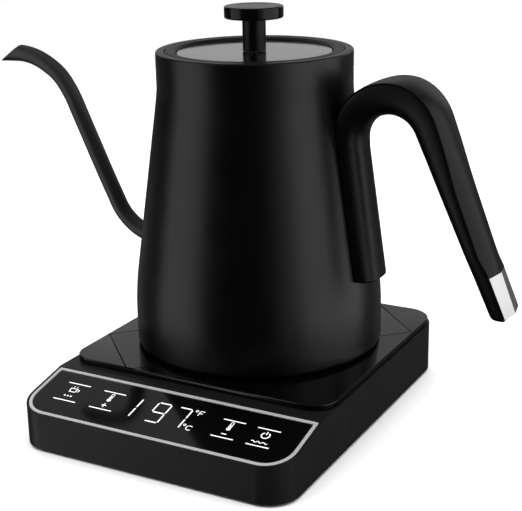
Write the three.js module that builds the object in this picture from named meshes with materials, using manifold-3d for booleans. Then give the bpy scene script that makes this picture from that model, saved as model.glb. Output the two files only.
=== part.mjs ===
// Gooseneck kettle on a temperature-control base.
// Millimetres, +Z up.  The origin is on the table, under the middle of the whole object's footprint.
// The spout points along -X, the handle along +X, and the control panel faces -Y.
import * as THREE from 'three';
import { mergeVertices } from 'three/addons/utils/BufferGeometryUtils.js';
import Module from 'manifold-3d';

const wasm = await Module();
wasm.setup();

// ---------------------------------------------------------------- driving dimensions
const GAP = 0.3;                    // clearance kept between pieces that touch
const KETTLE_AXIS = { x: 11, y: 21.6 };

// Base
const BASE = { halfWidth: 75, front: -117, rear: 72.4, corner: 15.5, wall: 2.4 };
const FOOT_PROUD = 1.5;
const FOOT_RADIUS = 7;
const FOOT_POCKET = 1;
const COVER_THICKNESS = 2.5;
const SLAB_TOP = 28.4;
const FRONT_TOP = 20.2;
const SLOPE_REAR = -78.2;
const PANEL_BORDER = 0.9;
const PANEL_POCKET = 2;             // depth of the pocket that holds the glass and its trim
const TRIM_WIDTH = 2.1;
const DECK_TOP = 31.4;
const DECK_INSET = 1;
const DECK_FRONT = -71.2;
const DECK_CORNER = 12;             // corner radius at the front
const GROOVE_WIDTH = 0.7;
const GROOVE_DEPTH = 0.6;
const GROOVE_BAND = 25.7;           // half-width of the scribed rectangle, which lies on the diagonal
const GROOVE_END = 77.8;            // half-length of the scribed rectangle
const BOSS_RADIUS = 19;
const BOSS_TOP = 42.4;
const BOSS_FLOOR = 22;
const BOSS_BORE = 4;                // radius of the bore round the contact pin
const SLOT = { inner: 9, outer: 15, floor: 30 };       // ring-shaped slot for the shutter and contacts
const GLAND = { height: 15, bore: 3.4, neck: 5.7, flange: 7.6, flangeDepth: 2.5 };
const GLAND_HOLE = 6;
const WINDOW = { halfWidth: 62.5, front: 11, rear: 6, corner: 3 };   // its margins inside the base
const BASE_SCREW_AT = { x: 67.6, front: -84, rear: 46 };
const FOOT_AT = { x: 62, front: -104, rear: 60 };
const POST_RADIUS = 3.6;
const HEAD_SINK = 1.4;              // how deep a screw head sits in the bottom cover
const REACH = 100;                  // half-width of a cutting piece, past every side
const SKY = 60;                     // height of a cutting piece, past the top of the base
const OVERRUN = 30;                 // length of a cutting piece past an end of the base

// Kettle, in heights above its own underside
const KETTLE_SEAT = DECK_TOP + GAP;
const BODY_HEIGHT = 153.4;
const BODY_WALL = 1;
const BODY_RADIUS = 65.3;
const BODY_STRAIGHT = 17;           // height where the wall starts to lean in
const FOOT_ROUND = 3.1;
const CONE_LOW = { r: 63.5, z: 41 };
const CONE_HIGH = { r: 50.62, z: 129 };
const NECK_RADIUS = 50;
const NECK_LOW = 137.4;
const RIM_INNER = 45.6;
const RIM_COLLAR = 12;
const RIM_ROUND = 1.4;
const FLOOR_HEIGHT = 20;
const SKIRT_INNER = 61.5;
const PLATE_RADIUS = 63.5;          // heating plate, inside the wall where it starts to lean in
const PLATE_THICKNESS = 2.4;
const SENSOR_RADIUS = 4;
const ELEMENT = { radius: 36, wire: 3.2, from: 20, to: 330 };
const COVER_SCREW_CIRCLE = 50;
const COVER_HEAD_SINK = 2.1;
const BODY_SEGMENTS = 40;

// Spout
const SPOUT_RADIUS = 4.6;
const SPOUT_BORE = 3.8;
const SPOUT_ROUTE = [
  [-56, 45], [-66, 46.4], [-76.5, 50.6], [-85, 58], [-91.5, 70], [-98, 83.5], [-104.6, 97.8],
  [-111.2, 112], [-116.2, 122.4], [-122.6, 131.2], [-130, 136.8], [-138.5, 140.8], [-147, 142.6],
  [-156, 142.6], [-169, 141.9],
];
const MOUTH_LIP = { x: -165.3, z: 136.7 };
const MOUTH_TOP = { x: -149, z: 147.4 };
const MOUTH_RADIUS = 45;            // radius of the hollow-ground cut between lip and top

// Handle, in the plane of the spout and the handle
const ARC_OUTER = { x: 78, z: 114.8, r: 29 };
const ARC_INNER = { x: 75.7, z: 111.8, r: 14.3 };
const GRIP_OUTER_TILT = 21.3;       // degrees from the vertical
const GRIP_INNER_TILT = 25.3;
const GRIP_LENGTH = 98;
const GRIP_STEPS = 9;
const TIP_SLANT = 4.5;              // how much shorter the grip is on its inner side
const STRAP_PROUD = 7.9;            // how far the strap stands out from the body
const STRAP_LOW = 42.5;
const STRAP_SLANT = 1.5;            // how much lower the strap is on its outer side
const STRAP_DEPTH = 6;              // how far the strap's stations reach into the body
const STRAP_HALF_WIDTH = 14;
const TIP_HALF_WIDTH = 11;
// Depth of the outer cover at shares of its run from the body to the tip.
const CROWN = [[0, 1], [0.3, 1.4], [0.55, 3.6], [0.7, 5.2], [0.84, 5.2], [0.9, 3.2], [1, 2.6]];
const INSERT_LENGTH = 21.5;
const SKIN_EDGE = 0.6;              // thickness of the cover at its long edges
const SIDE_FULLNESS = 2.6;          // 2 is an ellipse, more is squarer
const COVER_FROM = 5.2;             // the station where the outer cover leaves the body
const UPPER_BRACKET = 105;
const LOWER_BRACKET = 58;
const BRACKET = { near: 0.4, far: 4.9, half: 5 };
const BRACKET_BORE_AT = 2.7;        // distance of the screw's axis from the wall

// Lid, in heights above the rim
const LID_RADIUS = RIM_INNER - GAP;
const RECESS_RADIUS = 39.8;
const RECESS_FLOOR = -2.4;
const RECESS_BEVEL = { width: 1.9, depth: 1 };
const DISC_RADIUS = 39.2;
const DISC_TOP = -1.2;
const CAP_THICKNESS = 1.5;
const LID_HOLE = 2.4;               // hole for the knob's screw, through the cap and the cup
const CUP = { radius: 42.6, deep: -22, wall: 1 };
const GASKET = { inner: 42.9, groove: 44, low: -11, high: -5.6 };
const KNOB = { radius: 14.9, low: 15.4, high: 21.4, round: 0.9 };
const STEM_RADIUS = 5.9;
const SCREW_SHANK = 1.4;
const SCREW_HOLE = 1.8;

// ---------------------------------------------------------------- materials
function paint(colour, roughness, metalness) {
  return new THREE.MeshStandardMaterial({ color: colour, roughness, metalness });
}
const matteBlack = paint(0x1b1b1c, 0.5, 0.3);
const softBlack = paint(0x161617, 0.6, 0);
const deckBlack = paint(0x2a2a2b, 0.55, 0);
const glassBlack = paint(0x050506, 0.05, 0);
const paleTrim = paint(0xaaaaac, 0.4, 0.2);
const discGrey = paint(0x7f8082, 0.4, 0.6);
const brightMetal = paint(0xd8d8da, 0.18, 1);
const steel = paint(0xb9babc, 0.3, 1);
const brass = paint(0xb5954a, 0.3, 1);
const rubber = paint(0x121212, 0.9, 0);
const silicone = paint(0xd9d6cf, 0.7, 0);
const boardGreen = paint(0x1f4a32, 0.6, 0);
const nylon = paint(0xe6e2d6, 0.6, 0);

// ---------------------------------------------------------------- helpers
function radians(degrees) {
  return THREE.MathUtils.degToRad(degrees);
}

// A closed geometry as a manifold solid, with its repeated corners joined.
function solid(geometry) {
  const bare = geometry.clone();
  bare.deleteAttribute('normal');
  bare.deleteAttribute('uv');
  const merged = mergeVertices(bare, 1e-4);
  const triVerts = [];
  for (let i = 0; i < merged.index.count; i += 3) {
    const [a, b, c] = [merged.index.getX(i), merged.index.getX(i + 1), merged.index.getX(i + 2)];
    if (a !== b && b !== c && c !== a) triVerts.push(a, b, c);
  }
  return new wasm.Manifold(new wasm.Mesh({
    numProp: 3,
    vertProperties: merged.attributes.position.array,
    triVerts: new Uint32Array(triVerts),
  }));
}

function fromSolid(made) {
  const mesh = made.getMesh();
  const geometry = new THREE.BufferGeometry();
  geometry.setAttribute('position', new THREE.BufferAttribute(mesh.vertProperties, 3));
  geometry.setIndex(new THREE.BufferAttribute(mesh.triVerts, 1));
  return geometry;
}

function cut(geometry, ...tools) {
  return fromSolid(tools.reduce((made, tool) => made.subtract(solid(tool)), solid(geometry)));
}

function join(...pieces) {
  return fromSolid(pieces.map(solid).reduce((made, next) => made.add(next)));
}

function overlap(first, second) {
  return fromSolid(solid(first).intersect(solid(second)));
}

// Turns a profile of [radius, height] pairs about Z, closing it on itself or on the axis.
function turned(profile, segments = 28) {
  const points = profile.map(([r, z]) => new THREE.Vector2(r, z));
  if (THREE.ShapeUtils.area(points) < 0) points.reverse();
  if (profile.some(([r]) => r === 0)) {
    while (points[0].x > 0 || points[points.length - 1].x > 0) points.push(points.shift());
  } else {
    points.push(points[0].clone());
  }
  const geometry = new THREE.LatheGeometry(points, segments);
  geometry.rotateX(Math.PI / 2);
  return geometry;
}

function disc(radius, low, high, segments) {
  return turned([[0, low], [radius, low], [radius, high], [0, high]], segments);
}

function ring(inner, outer, low, high, segments) {
  return turned([[inner, low], [outer, low], [outer, high], [inner, high]], segments);
}

function box(x0, x1, y0, y1, z0, z1) {
  const geometry = new THREE.BoxGeometry(x1 - x0, y1 - y0, z1 - z0);
  geometry.translate((x0 + x1) / 2, (y0 + y1) / 2, (z0 + z1) / 2);
  return geometry;
}

function moved(geometry, x, y, z) {
  geometry.translate(x, y, z);
  return geometry;
}

// Rectangle about X = 0 with its own front and rear corner radii.
function plate(halfWidth, front, rear, frontRadius, rearRadius = frontRadius) {
  const shape = new THREE.Shape();
  shape.absarc(halfWidth - frontRadius, front + frontRadius, frontRadius, -Math.PI / 2, 0);
  shape.absarc(halfWidth - rearRadius, rear - rearRadius, rearRadius, 0, Math.PI / 2);
  shape.absarc(rearRadius - halfWidth, rear - rearRadius, rearRadius, Math.PI / 2, Math.PI);
  shape.absarc(frontRadius - halfWidth, front + frontRadius, frontRadius, Math.PI, Math.PI * 1.5);
  return shape;
}

function raised(shape, low, high) {
  const options = { depth: high - low, bevelEnabled: false, curveSegments: 5 };
  return moved(new THREE.ExtrudeGeometry(shape, options), 0, 0, low);
}

// Extrudes a side view, given as [y, z] pairs, across the whole width.
function across(sideView, halfWidth) {
  const shape = new THREE.Shape(sideView.map(([y, z]) => new THREE.Vector2(y, z)));
  const geometry = new THREE.ExtrudeGeometry(shape, { depth: 2 * halfWidth, bevelEnabled: false });
  const [x, y, z] = [[1, 0, 0], [0, 1, 0], [0, 0, 1]].map((axis) => new THREE.Vector3(...axis));
  geometry.applyMatrix4(new THREE.Matrix4().makeBasis(y, z, x));
  return moved(geometry, -halfWidth, 0, 0);
}

// Skins a run of rings that hold the same number of points, and closes both ends.
function loft(rings) {
  const around = rings[0].length;
  const index = [];
  for (let i = 0; i + 1 < rings.length; i += 1) {
    for (let j = 0; j < around; j += 1) {
      const [a, b] = [i * around + j, i * around + ((j + 1) % around)];
      index.push(a, b, a + around, b, b + around, a + around);
    }
  }
  const last = (rings.length - 1) * around;
  for (let j = 1; j + 1 < around; j += 1) {
    index.push(0, j + 1, j, last, last + j, last + j + 1);
  }
  const geometry = new THREE.BufferGeometry().setFromPoints(rings.flat());
  geometry.setIndex(index);
  return solid(geometry).volume() > 0 ? geometry : turnedOver(geometry);
}

function turnedOver(geometry) {
  const index = Array.from(geometry.index.array);
  geometry.setIndex(index.reverse());
  return geometry;
}

function addPiece(group, name, geometry, material) {
  const mesh = new THREE.Mesh(geometry, material);
  mesh.name = name;
  group.add(mesh);
  return mesh;
}

// A screw pointing up, with its head's underside at Z = 0 and a slot across the head.
function screw(length, headRadius, headHeight) {
  const body = turned([
    [0, -headHeight], [headRadius, -headHeight], [headRadius, 0],
    [SCREW_SHANK, 0], [SCREW_SHANK, length], [0, length],
  ], 10);
  const slot = box(-headRadius, headRadius, -0.35, 0.35, -headHeight - 1, -headHeight / 2);
  return cut(body, slot);
}

// ---------------------------------------------------------------- base
const slope = Math.atan2(SLAB_TOP - FRONT_TOP, SLOPE_REAR - BASE.front);

// Side view of everything under the top face, with the face lowered by a thickness.
function underTopFace(low, thickness = 0) {
  const fall = thickness / Math.cos(slope);
  const bend = SLOPE_REAR - thickness * Math.tan(slope / 2);
  return across([
    [BASE.front - OVERRUN, low],
    [BASE.rear + OVERRUN, low],
    [BASE.rear + OVERRUN, SLAB_TOP - thickness],
    [bend, SLAB_TOP - thickness],
    [BASE.front - OVERRUN, FRONT_TOP - fall - OVERRUN * Math.tan(slope)],
  ], REACH);
}

// A sheet that lies on the sloped face, between two depths below it.
function slopedSheet(shape, top, bottom) {
  const column = raised(shape, 0, SKY);
  const climb = OVERRUN * Math.tan(slope);
  const fall = bottom / Math.cos(slope);
  return overlap(overlap(column, underTopFace(-1, top)), across([
    [BASE.front - OVERRUN, FRONT_TOP - fall - climb],
    [SLOPE_REAR + OVERRUN, SLAB_TOP - fall + climb],
    [SLOPE_REAR + OVERRUN, SKY + climb],
    [BASE.front - OVERRUN, SKY + climb],
  ], REACH));
}

function panelOutline(inset) {
  const edge = PANEL_BORDER + inset;
  return plate(BASE.halfWidth - edge, BASE.front + edge, SLOPE_REAR - edge, BASE.corner - edge, 0.6);
}

function windowOutline(inset) {
  const { halfWidth, front, rear, corner } = WINDOW;
  return plate(halfWidth - inset, BASE.front + front + inset, SLOPE_REAR - rear - inset, corner);
}

const corners = [[-1, -1], [1, -1], [1, 1], [-1, 1]];
const atCorners = ({ x, front, rear }) => corners.map(([i, j]) => [i * x, j < 0 ? front : rear]);
const screwPlaces = atCorners(BASE_SCREW_AT);
const footPlaces = atCorners(FOOT_AT);

function baseHousing() {
  const { halfWidth, front, rear, corner, wall } = BASE;
  const outline = plate(halfWidth, front, rear, corner);
  const inline = plate(halfWidth - wall, front + wall, rear - wall, corner - wall);
  const outside = overlap(raised(outline, FOOT_PROUD, SKY), underTopFace(0));
  const cavity = overlap(raised(inline, 0, SKY), underTopFace(-1, wall + PANEL_POCKET));
  const postFoot = FOOT_PROUD + COVER_THICKNESS + 0.4;
  const posts = screwPlaces.map(([x, y]) => (
    overlap(moved(disc(POST_RADIUS, postFoot, SKY, 10), x, y, 0), underTopFace(-1, PANEL_POCKET + 1))));
  const bores = screwPlaces.map(([x, y]) => moved(disc(SCREW_HOLE, 0, 16, 8), x, y, 0));
  const glandHole = disc(GLAND_HOLE, 0, 10, 16).rotateX(-Math.PI / 2);
  return cut(
    join(cut(outside, cavity), ...posts),
    slopedSheet(panelOutline(0), -5, PANEL_POCKET),
    raised(windowOutline(0), FOOT_PROUD + 6, SKY),
    disc(BOSS_RADIUS + GAP, 0, SKY),
    moved(glandHole, 0, rear - 5, GLAND.height),
    ...bores,
  );
}

function deckPlate() {
  const { halfWidth, rear, corner } = BASE;
  const shape = plate(
    halfWidth - DECK_INSET, DECK_FRONT, rear - DECK_INSET, DECK_CORNER, corner - DECK_INSET);
  const grooves = [0, 1, 2, 3].map((side) => {
    const [out, reach] = side % 2 ? [GROOVE_END, GROOVE_BAND] : [GROOVE_BAND, GROOVE_END];
    const [near, far] = [out - GROOVE_WIDTH / 2, out + GROOVE_WIDTH / 2];
    const groove = box(-reach, reach, near, far, DECK_TOP - GROOVE_DEPTH, SKY);
    return groove.rotateZ(Math.PI / 4 + side * Math.PI / 2);
  });
  return cut(raised(shape, SLAB_TOP + GAP, DECK_TOP), disc(BOSS_RADIUS + GAP, 0, SKY), ...grooves);
}

function bottomCover() {
  const { halfWidth, front, rear, corner, wall } = BASE;
  const inset = wall + GAP;
  const shape = plate(halfWidth - inset, front + inset, rear - inset, corner - inset);
  const sheet = raised(shape, FOOT_PROUD, FOOT_PROUD + COVER_THICKNESS);
  const pockets = footPlaces.map(([x, y]) => (
    moved(disc(FOOT_RADIUS + GAP, 0, FOOT_PROUD + FOOT_POCKET, 18), x, y, 0)));
  const holes = screwPlaces.flatMap(([x, y]) => [
    moved(disc(SCREW_HOLE, 0, 10, 8), x, y, 0),
    moved(disc(3.3, 0, FOOT_PROUD + HEAD_SINK, 12), x, y, 0),
  ]);
  return cut(sheet, ...pockets, ...holes);
}

function connectorBoss() {
  const { inner, outer, floor } = SLOT;
  return turned([
    [BOSS_BORE, BOSS_FLOOR], [BOSS_RADIUS, BOSS_FLOOR],
    [BOSS_RADIUS, BOSS_TOP - 1], [BOSS_RADIUS - 1, BOSS_TOP],
    [outer, BOSS_TOP], [outer, floor], [inner, floor], [inner, BOSS_TOP], [BOSS_BORE, BOSS_TOP],
  ]);
}

function cordGland() {
  const { bore, neck, flange, flangeDepth } = GLAND;
  const [inside, outside] = [-BASE.wall - flangeDepth, 1.4];
  return turned([
    [bore, inside], [flange, inside], [flange, -BASE.wall - GAP], [neck, -BASE.wall - GAP],
    [neck, GAP], [neck + 1.5, GAP], [neck + 0.9, outside], [bore, outside],
  ], 16).rotateX(-Math.PI / 2);
}

function addBase(group) {
  addPiece(group, 'base_housing', baseHousing(), softBlack);
  addPiece(group, 'base_bottom_cover', bottomCover(), softBlack);
  addPiece(group, 'deck_plate', deckPlate(), deckBlack);
  const trim = cut(
    slopedSheet(panelOutline(GAP), 0, PANEL_POCKET - GAP),
    slopedSheet(panelOutline(TRIM_WIDTH), -5, PANEL_POCKET + 5),
  );
  addPiece(group, 'glass_trim', trim, paleTrim);
  const glass = slopedSheet(panelOutline(TRIM_WIDTH + GAP), 0.1, PANEL_POCKET - GAP);
  addPiece(group, 'control_glass', glass, glassBlack);
  const display = slopedSheet(windowOutline(0.6), PANEL_POCKET + GAP, PANEL_POCKET + 1.9);
  addPiece(group, 'display_board', display, boardGreen);
  addPiece(group, 'power_board', box(-40, 40, 28, 62, 8, 9.6), boardGreen);
  addPiece(group, 'power_relay', box(-30, -12, 34, 50, 9.9, 22), softBlack);
  addPiece(group, 'connector_boss', connectorBoss(), softBlack);
  addPiece(group, 'contact_pin', disc(BOSS_BORE - 0.6, 18, BOSS_TOP - 1.4, 16), brass);
  const { inner, outer, floor } = SLOT;
  const contact = (from, to) => ring(from, to, floor + GAP, BOSS_TOP - 3.4, 24);
  addPiece(group, 'contact_ring_inner', contact(inner + GAP, inner + 1), brass);
  addPiece(group, 'contact_ring_outer', contact(outer - 1, outer - GAP), brass);
  addPiece(group, 'cord_gland', cordGland(), rubber).position.set(0, BASE.rear, GLAND.height);
  footPlaces.forEach(([x, y], i) => {
    const foot = disc(FOOT_RADIUS, 0, FOOT_PROUD + FOOT_POCKET - GAP, 18);
    addPiece(group, `foot_${i + 1}`, foot, rubber).position.set(x, y, 0);
  });
  screwPlaces.forEach(([x, y], i) => {
    const place = [x, y, FOOT_PROUD + HEAD_SINK - GAP];
    addPiece(group, `base_screw_${i + 1}`, screw(11, 3, 1), steel).position.set(...place);
  });
}

// ---------------------------------------------------------------- kettle body
const wallLean = Math.atan2(CONE_LOW.r - CONE_HIGH.r, CONE_HIGH.z - CONE_LOW.z);

// Outer wall from the foot to the rim, moved out by a clearance.
function bodyWall(clearance = 0) {
  const path = new THREE.Path();
  const lean = Math.tan(wallLean);
  path.moveTo(BODY_RADIUS - FOOT_ROUND, 0);
  path.absarc(BODY_RADIUS - FOOT_ROUND, FOOT_ROUND, FOOT_ROUND, -Math.PI / 2, 0);
  path.lineTo(BODY_RADIUS, BODY_STRAIGHT);
  const lowBend = CONE_LOW.z - (BODY_RADIUS - CONE_LOW.r) / lean;
  path.quadraticCurveTo(BODY_RADIUS, lowBend, CONE_LOW.r, CONE_LOW.z);
  path.lineTo(CONE_HIGH.r, CONE_HIGH.z);
  const highBend = CONE_HIGH.z + (CONE_HIGH.r - NECK_RADIUS) / lean;
  path.quadraticCurveTo(NECK_RADIUS, highBend, NECK_RADIUS, NECK_LOW);
  path.lineTo(NECK_RADIUS, BODY_HEIGHT - RIM_ROUND);
  return path.getPoints(3).map((point) => [point.x + clearance, point.y]);
}

function bodyRadius(height) {
  const wall = bodyWall();
  const above = wall.findIndex(([, z]) => z >= height);
  const [[r0, z0], [r1, z1]] = [wall[Math.max(above - 1, 0)], wall[above]];
  return z1 > z0 ? r0 + (r1 - r0) * (height - z0) / (z1 - z0) : r1;
}

function kettleEnvelope(clearance) {
  return turned([
    [0, -1], ...bodyWall(clearance), [NECK_RADIUS + clearance, BODY_HEIGHT + 1], [0, BODY_HEIGHT + 1],
  ], BODY_SEGMENTS);
}

function kettleBody(spoutBore) {
  const inside = [[BODY_RADIUS, FOOT_ROUND], [BODY_RADIUS, BODY_STRAIGHT], [CONE_LOW.r, CONE_LOW.z],
    [CONE_HIGH.r, CONE_HIGH.z], [NECK_RADIUS, NECK_LOW]].map(([r, z]) => [r - BODY_WALL, z]);
  const underRim = BODY_HEIGHT - BODY_WALL - 0.6;
  const shell = turned([
    ...bodyWall(),
    [NECK_RADIUS - RIM_ROUND, BODY_HEIGHT],
    [RIM_INNER + 0.6, BODY_HEIGHT], [RIM_INNER, BODY_HEIGHT - 0.6],
    [RIM_INNER, BODY_HEIGHT - RIM_COLLAR], [RIM_INNER + BODY_WALL, BODY_HEIGHT - RIM_COLLAR],
    [RIM_INNER + BODY_WALL, underRim], [NECK_RADIUS - BODY_WALL, underRim],
    ...inside.reverse(),
    [SKIRT_INNER, BODY_WALL + 0.4], [SKIRT_INNER, 0],
  ], BODY_SEGMENTS);
  return cut(shell, spoutBore);
}

// ---------------------------------------------------------------- spout
const spoutCurve = new THREE.CatmullRomCurve3(
  SPOUT_ROUTE.map(([x, z]) => new THREE.Vector3(x, 0, z)), false, 'centripetal');

// A closed tube of one radius along the spout's curve.
function spoutTube(radius, sides) {
  const steps = 24;
  const rings = [];
  for (let i = 0; i <= steps; i += 1) {
    const along = i / steps;
    const centre = spoutCurve.getPointAt(along);
    const tangent = spoutCurve.getTangentAt(along);
    rings.push(Array.from({ length: sides }, (_, k) => {
      const turn = 2 * Math.PI * (k + 0.5) / sides;
      return new THREE.Vector3(
        centre.x - tangent.z * radius * Math.cos(turn),
        radius * Math.sin(turn),
        centre.z + tangent.x * radius * Math.cos(turn),
      );
    }));
  }
  return loft(rings);
}

// A cylinder across the mouth, through the lip and the top of the opening.
function mouthCut() {
  const [run, rise] = [MOUTH_TOP.x - MOUTH_LIP.x, MOUTH_TOP.z - MOUTH_LIP.z];
  const chord = Math.hypot(run, rise);
  const back = Math.sqrt(MOUTH_RADIUS ** 2 - (chord / 2) ** 2) / chord;
  const cylinder = disc(MOUTH_RADIUS, -10, 10, 96).rotateX(Math.PI / 2);
  return moved(
    cylinder,
    (MOUTH_LIP.x + MOUTH_TOP.x) / 2 - rise * back,
    0,
    (MOUTH_LIP.z + MOUTH_TOP.z) / 2 + run * back,
  );
}

function spout(bore) {
  return cut(spoutTube(SPOUT_RADIUS, 12), bore, kettleEnvelope(GAP), mouthCut());
}

// ---------------------------------------------------------------- handle
// Pairs of points, on the inner and the outer side of the handle, from the strap's lower end to the tip.
function handleStations() {
  const stations = [];
  const add = (inner, outer) => stations.push({ inner, outer });
  const strapStart = Math.PI + wallLean;
  const strapTop = ARC_INNER.z + ARC_INNER.r * Math.sin(strapStart);
  const strapSteps = 4;
  for (let i = 0; i < strapSteps; i += 1) {
    const z = STRAP_LOW + (strapTop - STRAP_LOW) * i / strapSteps;
    add([bodyRadius(z) + STRAP_PROUD, z], [bodyRadius(z) - STRAP_DEPTH, z + STRAP_SLANT]);
  }
  const arcSteps = 11;
  for (let i = 0; i <= arcSteps; i += 1) {
    const inner = THREE.MathUtils.lerp(strapStart, radians(GRIP_INNER_TILT), i / arcSteps);
    const outer = THREE.MathUtils.lerp(strapStart, radians(GRIP_OUTER_TILT), i / arcSteps);
    add(
      [ARC_INNER.x + ARC_INNER.r * Math.cos(inner), ARC_INNER.z + ARC_INNER.r * Math.sin(inner)],
      [ARC_OUTER.x + ARC_OUTER.r * Math.cos(outer), ARC_OUTER.z + ARC_OUTER.r * Math.sin(outer)],
    );
  }
  const { inner, outer } = stations[stations.length - 1];
  const down = ([x, z], length, tilt) => [
    x + length * Math.sin(radians(tilt)),
    z - length * Math.cos(radians(tilt)),
  ];
  for (let i = 1; i <= GRIP_STEPS; i += 1) {
    const share = i / GRIP_STEPS;
    add(
      down(inner, (GRIP_LENGTH - TIP_SLANT) * share, GRIP_INNER_TILT),
      down(outer, GRIP_LENGTH * share, GRIP_OUTER_TILT),
    );
  }
  return stations;
}

const stations = handleStations();
const tip = stations.length - 1;

// The handle's cross-section at a place on the run of stations, which may lie between two of them.
// Depth is counted from the inner side towards the outer side.
function handleSection(place) {
  const low = Math.min(Math.floor(place), tip - 1);
  const [near, far] = [stations[low], stations[low + 1]];
  const point = (side) => new THREE.Vector3(near[side][0], 0, near[side][1])
    .lerp(new THREE.Vector3(far[side][0], 0, far[side][1]), place - low);
  const [inner, outer] = [point('inner'), point('outer')];
  const outward = outer.clone().sub(inner).normalize();
  const share = Math.max((place - COVER_FROM) / (tip - COVER_FROM), 0);
  const next = Math.max(CROWN.findIndex(([at]) => at >= share), 1);
  const [[share0, crown0], [share1, crown1]] = [CROWN[next - 1], CROWN[next]];
  return {
    at: (y, depth) => inner.clone().addScaledVector(outward, depth).setY(y),
    thickness: inner.distanceTo(outer),
    crown: THREE.MathUtils.mapLinear(share, share0, share1, crown0, crown1),
    halfWidth: THREE.MathUtils.lerp(STRAP_HALF_WIDTH, TIP_HALF_WIDTH, place / tip),
  };
}

function coreRing(place) {
  const { at, thickness, crown, halfWidth } = handleSection(place);
  const depth = thickness - crown - GAP / 2;
  const steps = 12;
  const round = (value) => Math.sign(value) * Math.abs(value) ** (2 / SIDE_FULLNESS);
  return Array.from({ length: steps + 1 }, (_, k) => {
    const turn = Math.PI * k / steps;
    return at(halfWidth * round(Math.cos(turn)), depth * (1 - round(Math.sin(turn))));
  });
}

// The outer skin has a crowned top; the metal end has two flat facets instead.
function skinRing(place, steps, power) {
  const { at, thickness, crown, halfWidth } = handleSection(place);
  const fall = crown - GAP / 2 - SKIN_EDGE;
  const under = thickness - crown + GAP / 2;
  const top = Array.from({ length: steps + 1 }, (_, k) => {
    const share = 1 - 2 * k / steps;
    return at(halfWidth * share, thickness - fall * Math.abs(share) ** power);
  });
  return [...top, at(-halfWidth, under), at(halfWidth, under)];
}

// The last ring drawn in and pushed forward, to round off the tip.
function shrunk(points, forward, keep) {
  const middle = new THREE.Vector3();
  points.forEach((point) => middle.addScaledVector(point, 1 / points.length));
  const tilt = radians(GRIP_OUTER_TILT);
  const push = new THREE.Vector3(Math.sin(tilt), 0, -Math.cos(tilt));
  return points.map((point) => point.clone().lerp(middle, 1 - keep).addScaledVector(push, forward));
}

// Two places and every whole station between them.
function span(from, to) {
  const between = stations.map((_, i) => i).filter((i) => i > from && i < to);
  return [from, ...between, to];
}

// Places a piece against the handle side of the cone: X runs out of the wall and Z up along it.
function onWall(geometry, height) {
  geometry.rotateY(-wallLean);
  return moved(geometry, bodyRadius(height), 0, height);
}

function handleCore() {
  const rings = span(0, tip).map(coreRing);
  const end = rings[rings.length - 1];
  rings.unshift(rings[0].map((point) => point.clone().add(new THREE.Vector3(-1.6, 0, -1.2))));
  const body = loft([...rings, shrunk(end, 1.2, 0.92), shrunk(end, 1.8, 0.78)]);
  const half = BRACKET.half + 0.4;
  const pocket = () => box(-4, BRACKET.far + 0.4, -half, half, -half, half);
  return cut(
    body,
    kettleEnvelope(GAP),
    onWall(pocket(), UPPER_BRACKET),
    onWall(pocket(), LOWER_BRACKET),
    onWall(moved(disc(SCREW_HOLE, 4, 13, 16), BRACKET_BORE_AT, 0, 0), UPPER_BRACKET),
    onWall(moved(disc(2.9, 12, 40, 20), BRACKET_BORE_AT, 0, 0), UPPER_BRACKET),
  );
}

function bracket(bore) {
  const { near, far, half } = BRACKET;
  const block = box(near, far, -half, half, -half, half);
  return bore ? cut(block, moved(disc(SCREW_HOLE, -6, 6, 16), BRACKET_BORE_AT, 0, 0)) : block;
}

// ---------------------------------------------------------------- kettle
const coverScrews = [30, 150, 270].map((angle) => [
  COVER_SCREW_CIRCLE * Math.cos(radians(angle)),
  COVER_SCREW_CIRCLE * Math.sin(radians(angle)),
]);

function heatingPlate() {
  const top = FLOOR_HEIGHT + PLATE_THICKNESS;
  const sheet = ring(SENSOR_RADIUS + GAP, PLATE_RADIUS, FLOOR_HEIGHT, top, BODY_SEGMENTS);
  const posts = coverScrews.map(([x, y]) => moved(disc(3.4, 3.6, FLOOR_HEIGHT + 1, 10), x, y, 0));
  const bores = coverScrews.map(([x, y]) => moved(disc(SCREW_HOLE, 0, 16, 8), x, y, 0));
  return cut(join(sheet, ...posts), ...bores);
}

function heatingElement() {
  const { radius, wire, from, to } = ELEMENT;
  const steps = 20;
  const arc = new THREE.EllipseCurve(0, 0, radius, radius, radians(from), radians(to)).getPoints(steps);
  const height = FLOOR_HEIGHT - wire - 0.8;
  const route = new THREE.CatmullRomCurve3(arc.map(({ x, y }) => new THREE.Vector3(x, y, height)));
  const section = new THREE.Shape().absarc(0, 0, wire, 0, Math.PI * 2);
  return new THREE.ExtrudeGeometry(section, { steps, curveSegments: 4, extrudePath: route });
}

function baseCover() {
  const holes = coverScrews.flatMap(([x, y]) => [
    moved(disc(SCREW_HOLE, 0, 6, 8), x, y, 0),
    moved(disc(3.2, 0, COVER_HEAD_SINK, 12), x, y, 0),
  ]);
  return cut(ring(24.2, SKIRT_INNER - GAP, 0.8, 3.2, BODY_SEGMENTS), ...holes);
}

function socket() {
  return turned([
    [0, 11.2], [10.8, 11.2], [10.8, 5], [13.2, 5], [13.2, 11.2], [19.6, 11.2], [19.6, 0.9],
    [23.8, 0.9], [23.8, 14.6], [0, 14.6],
  ]);
}

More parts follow.
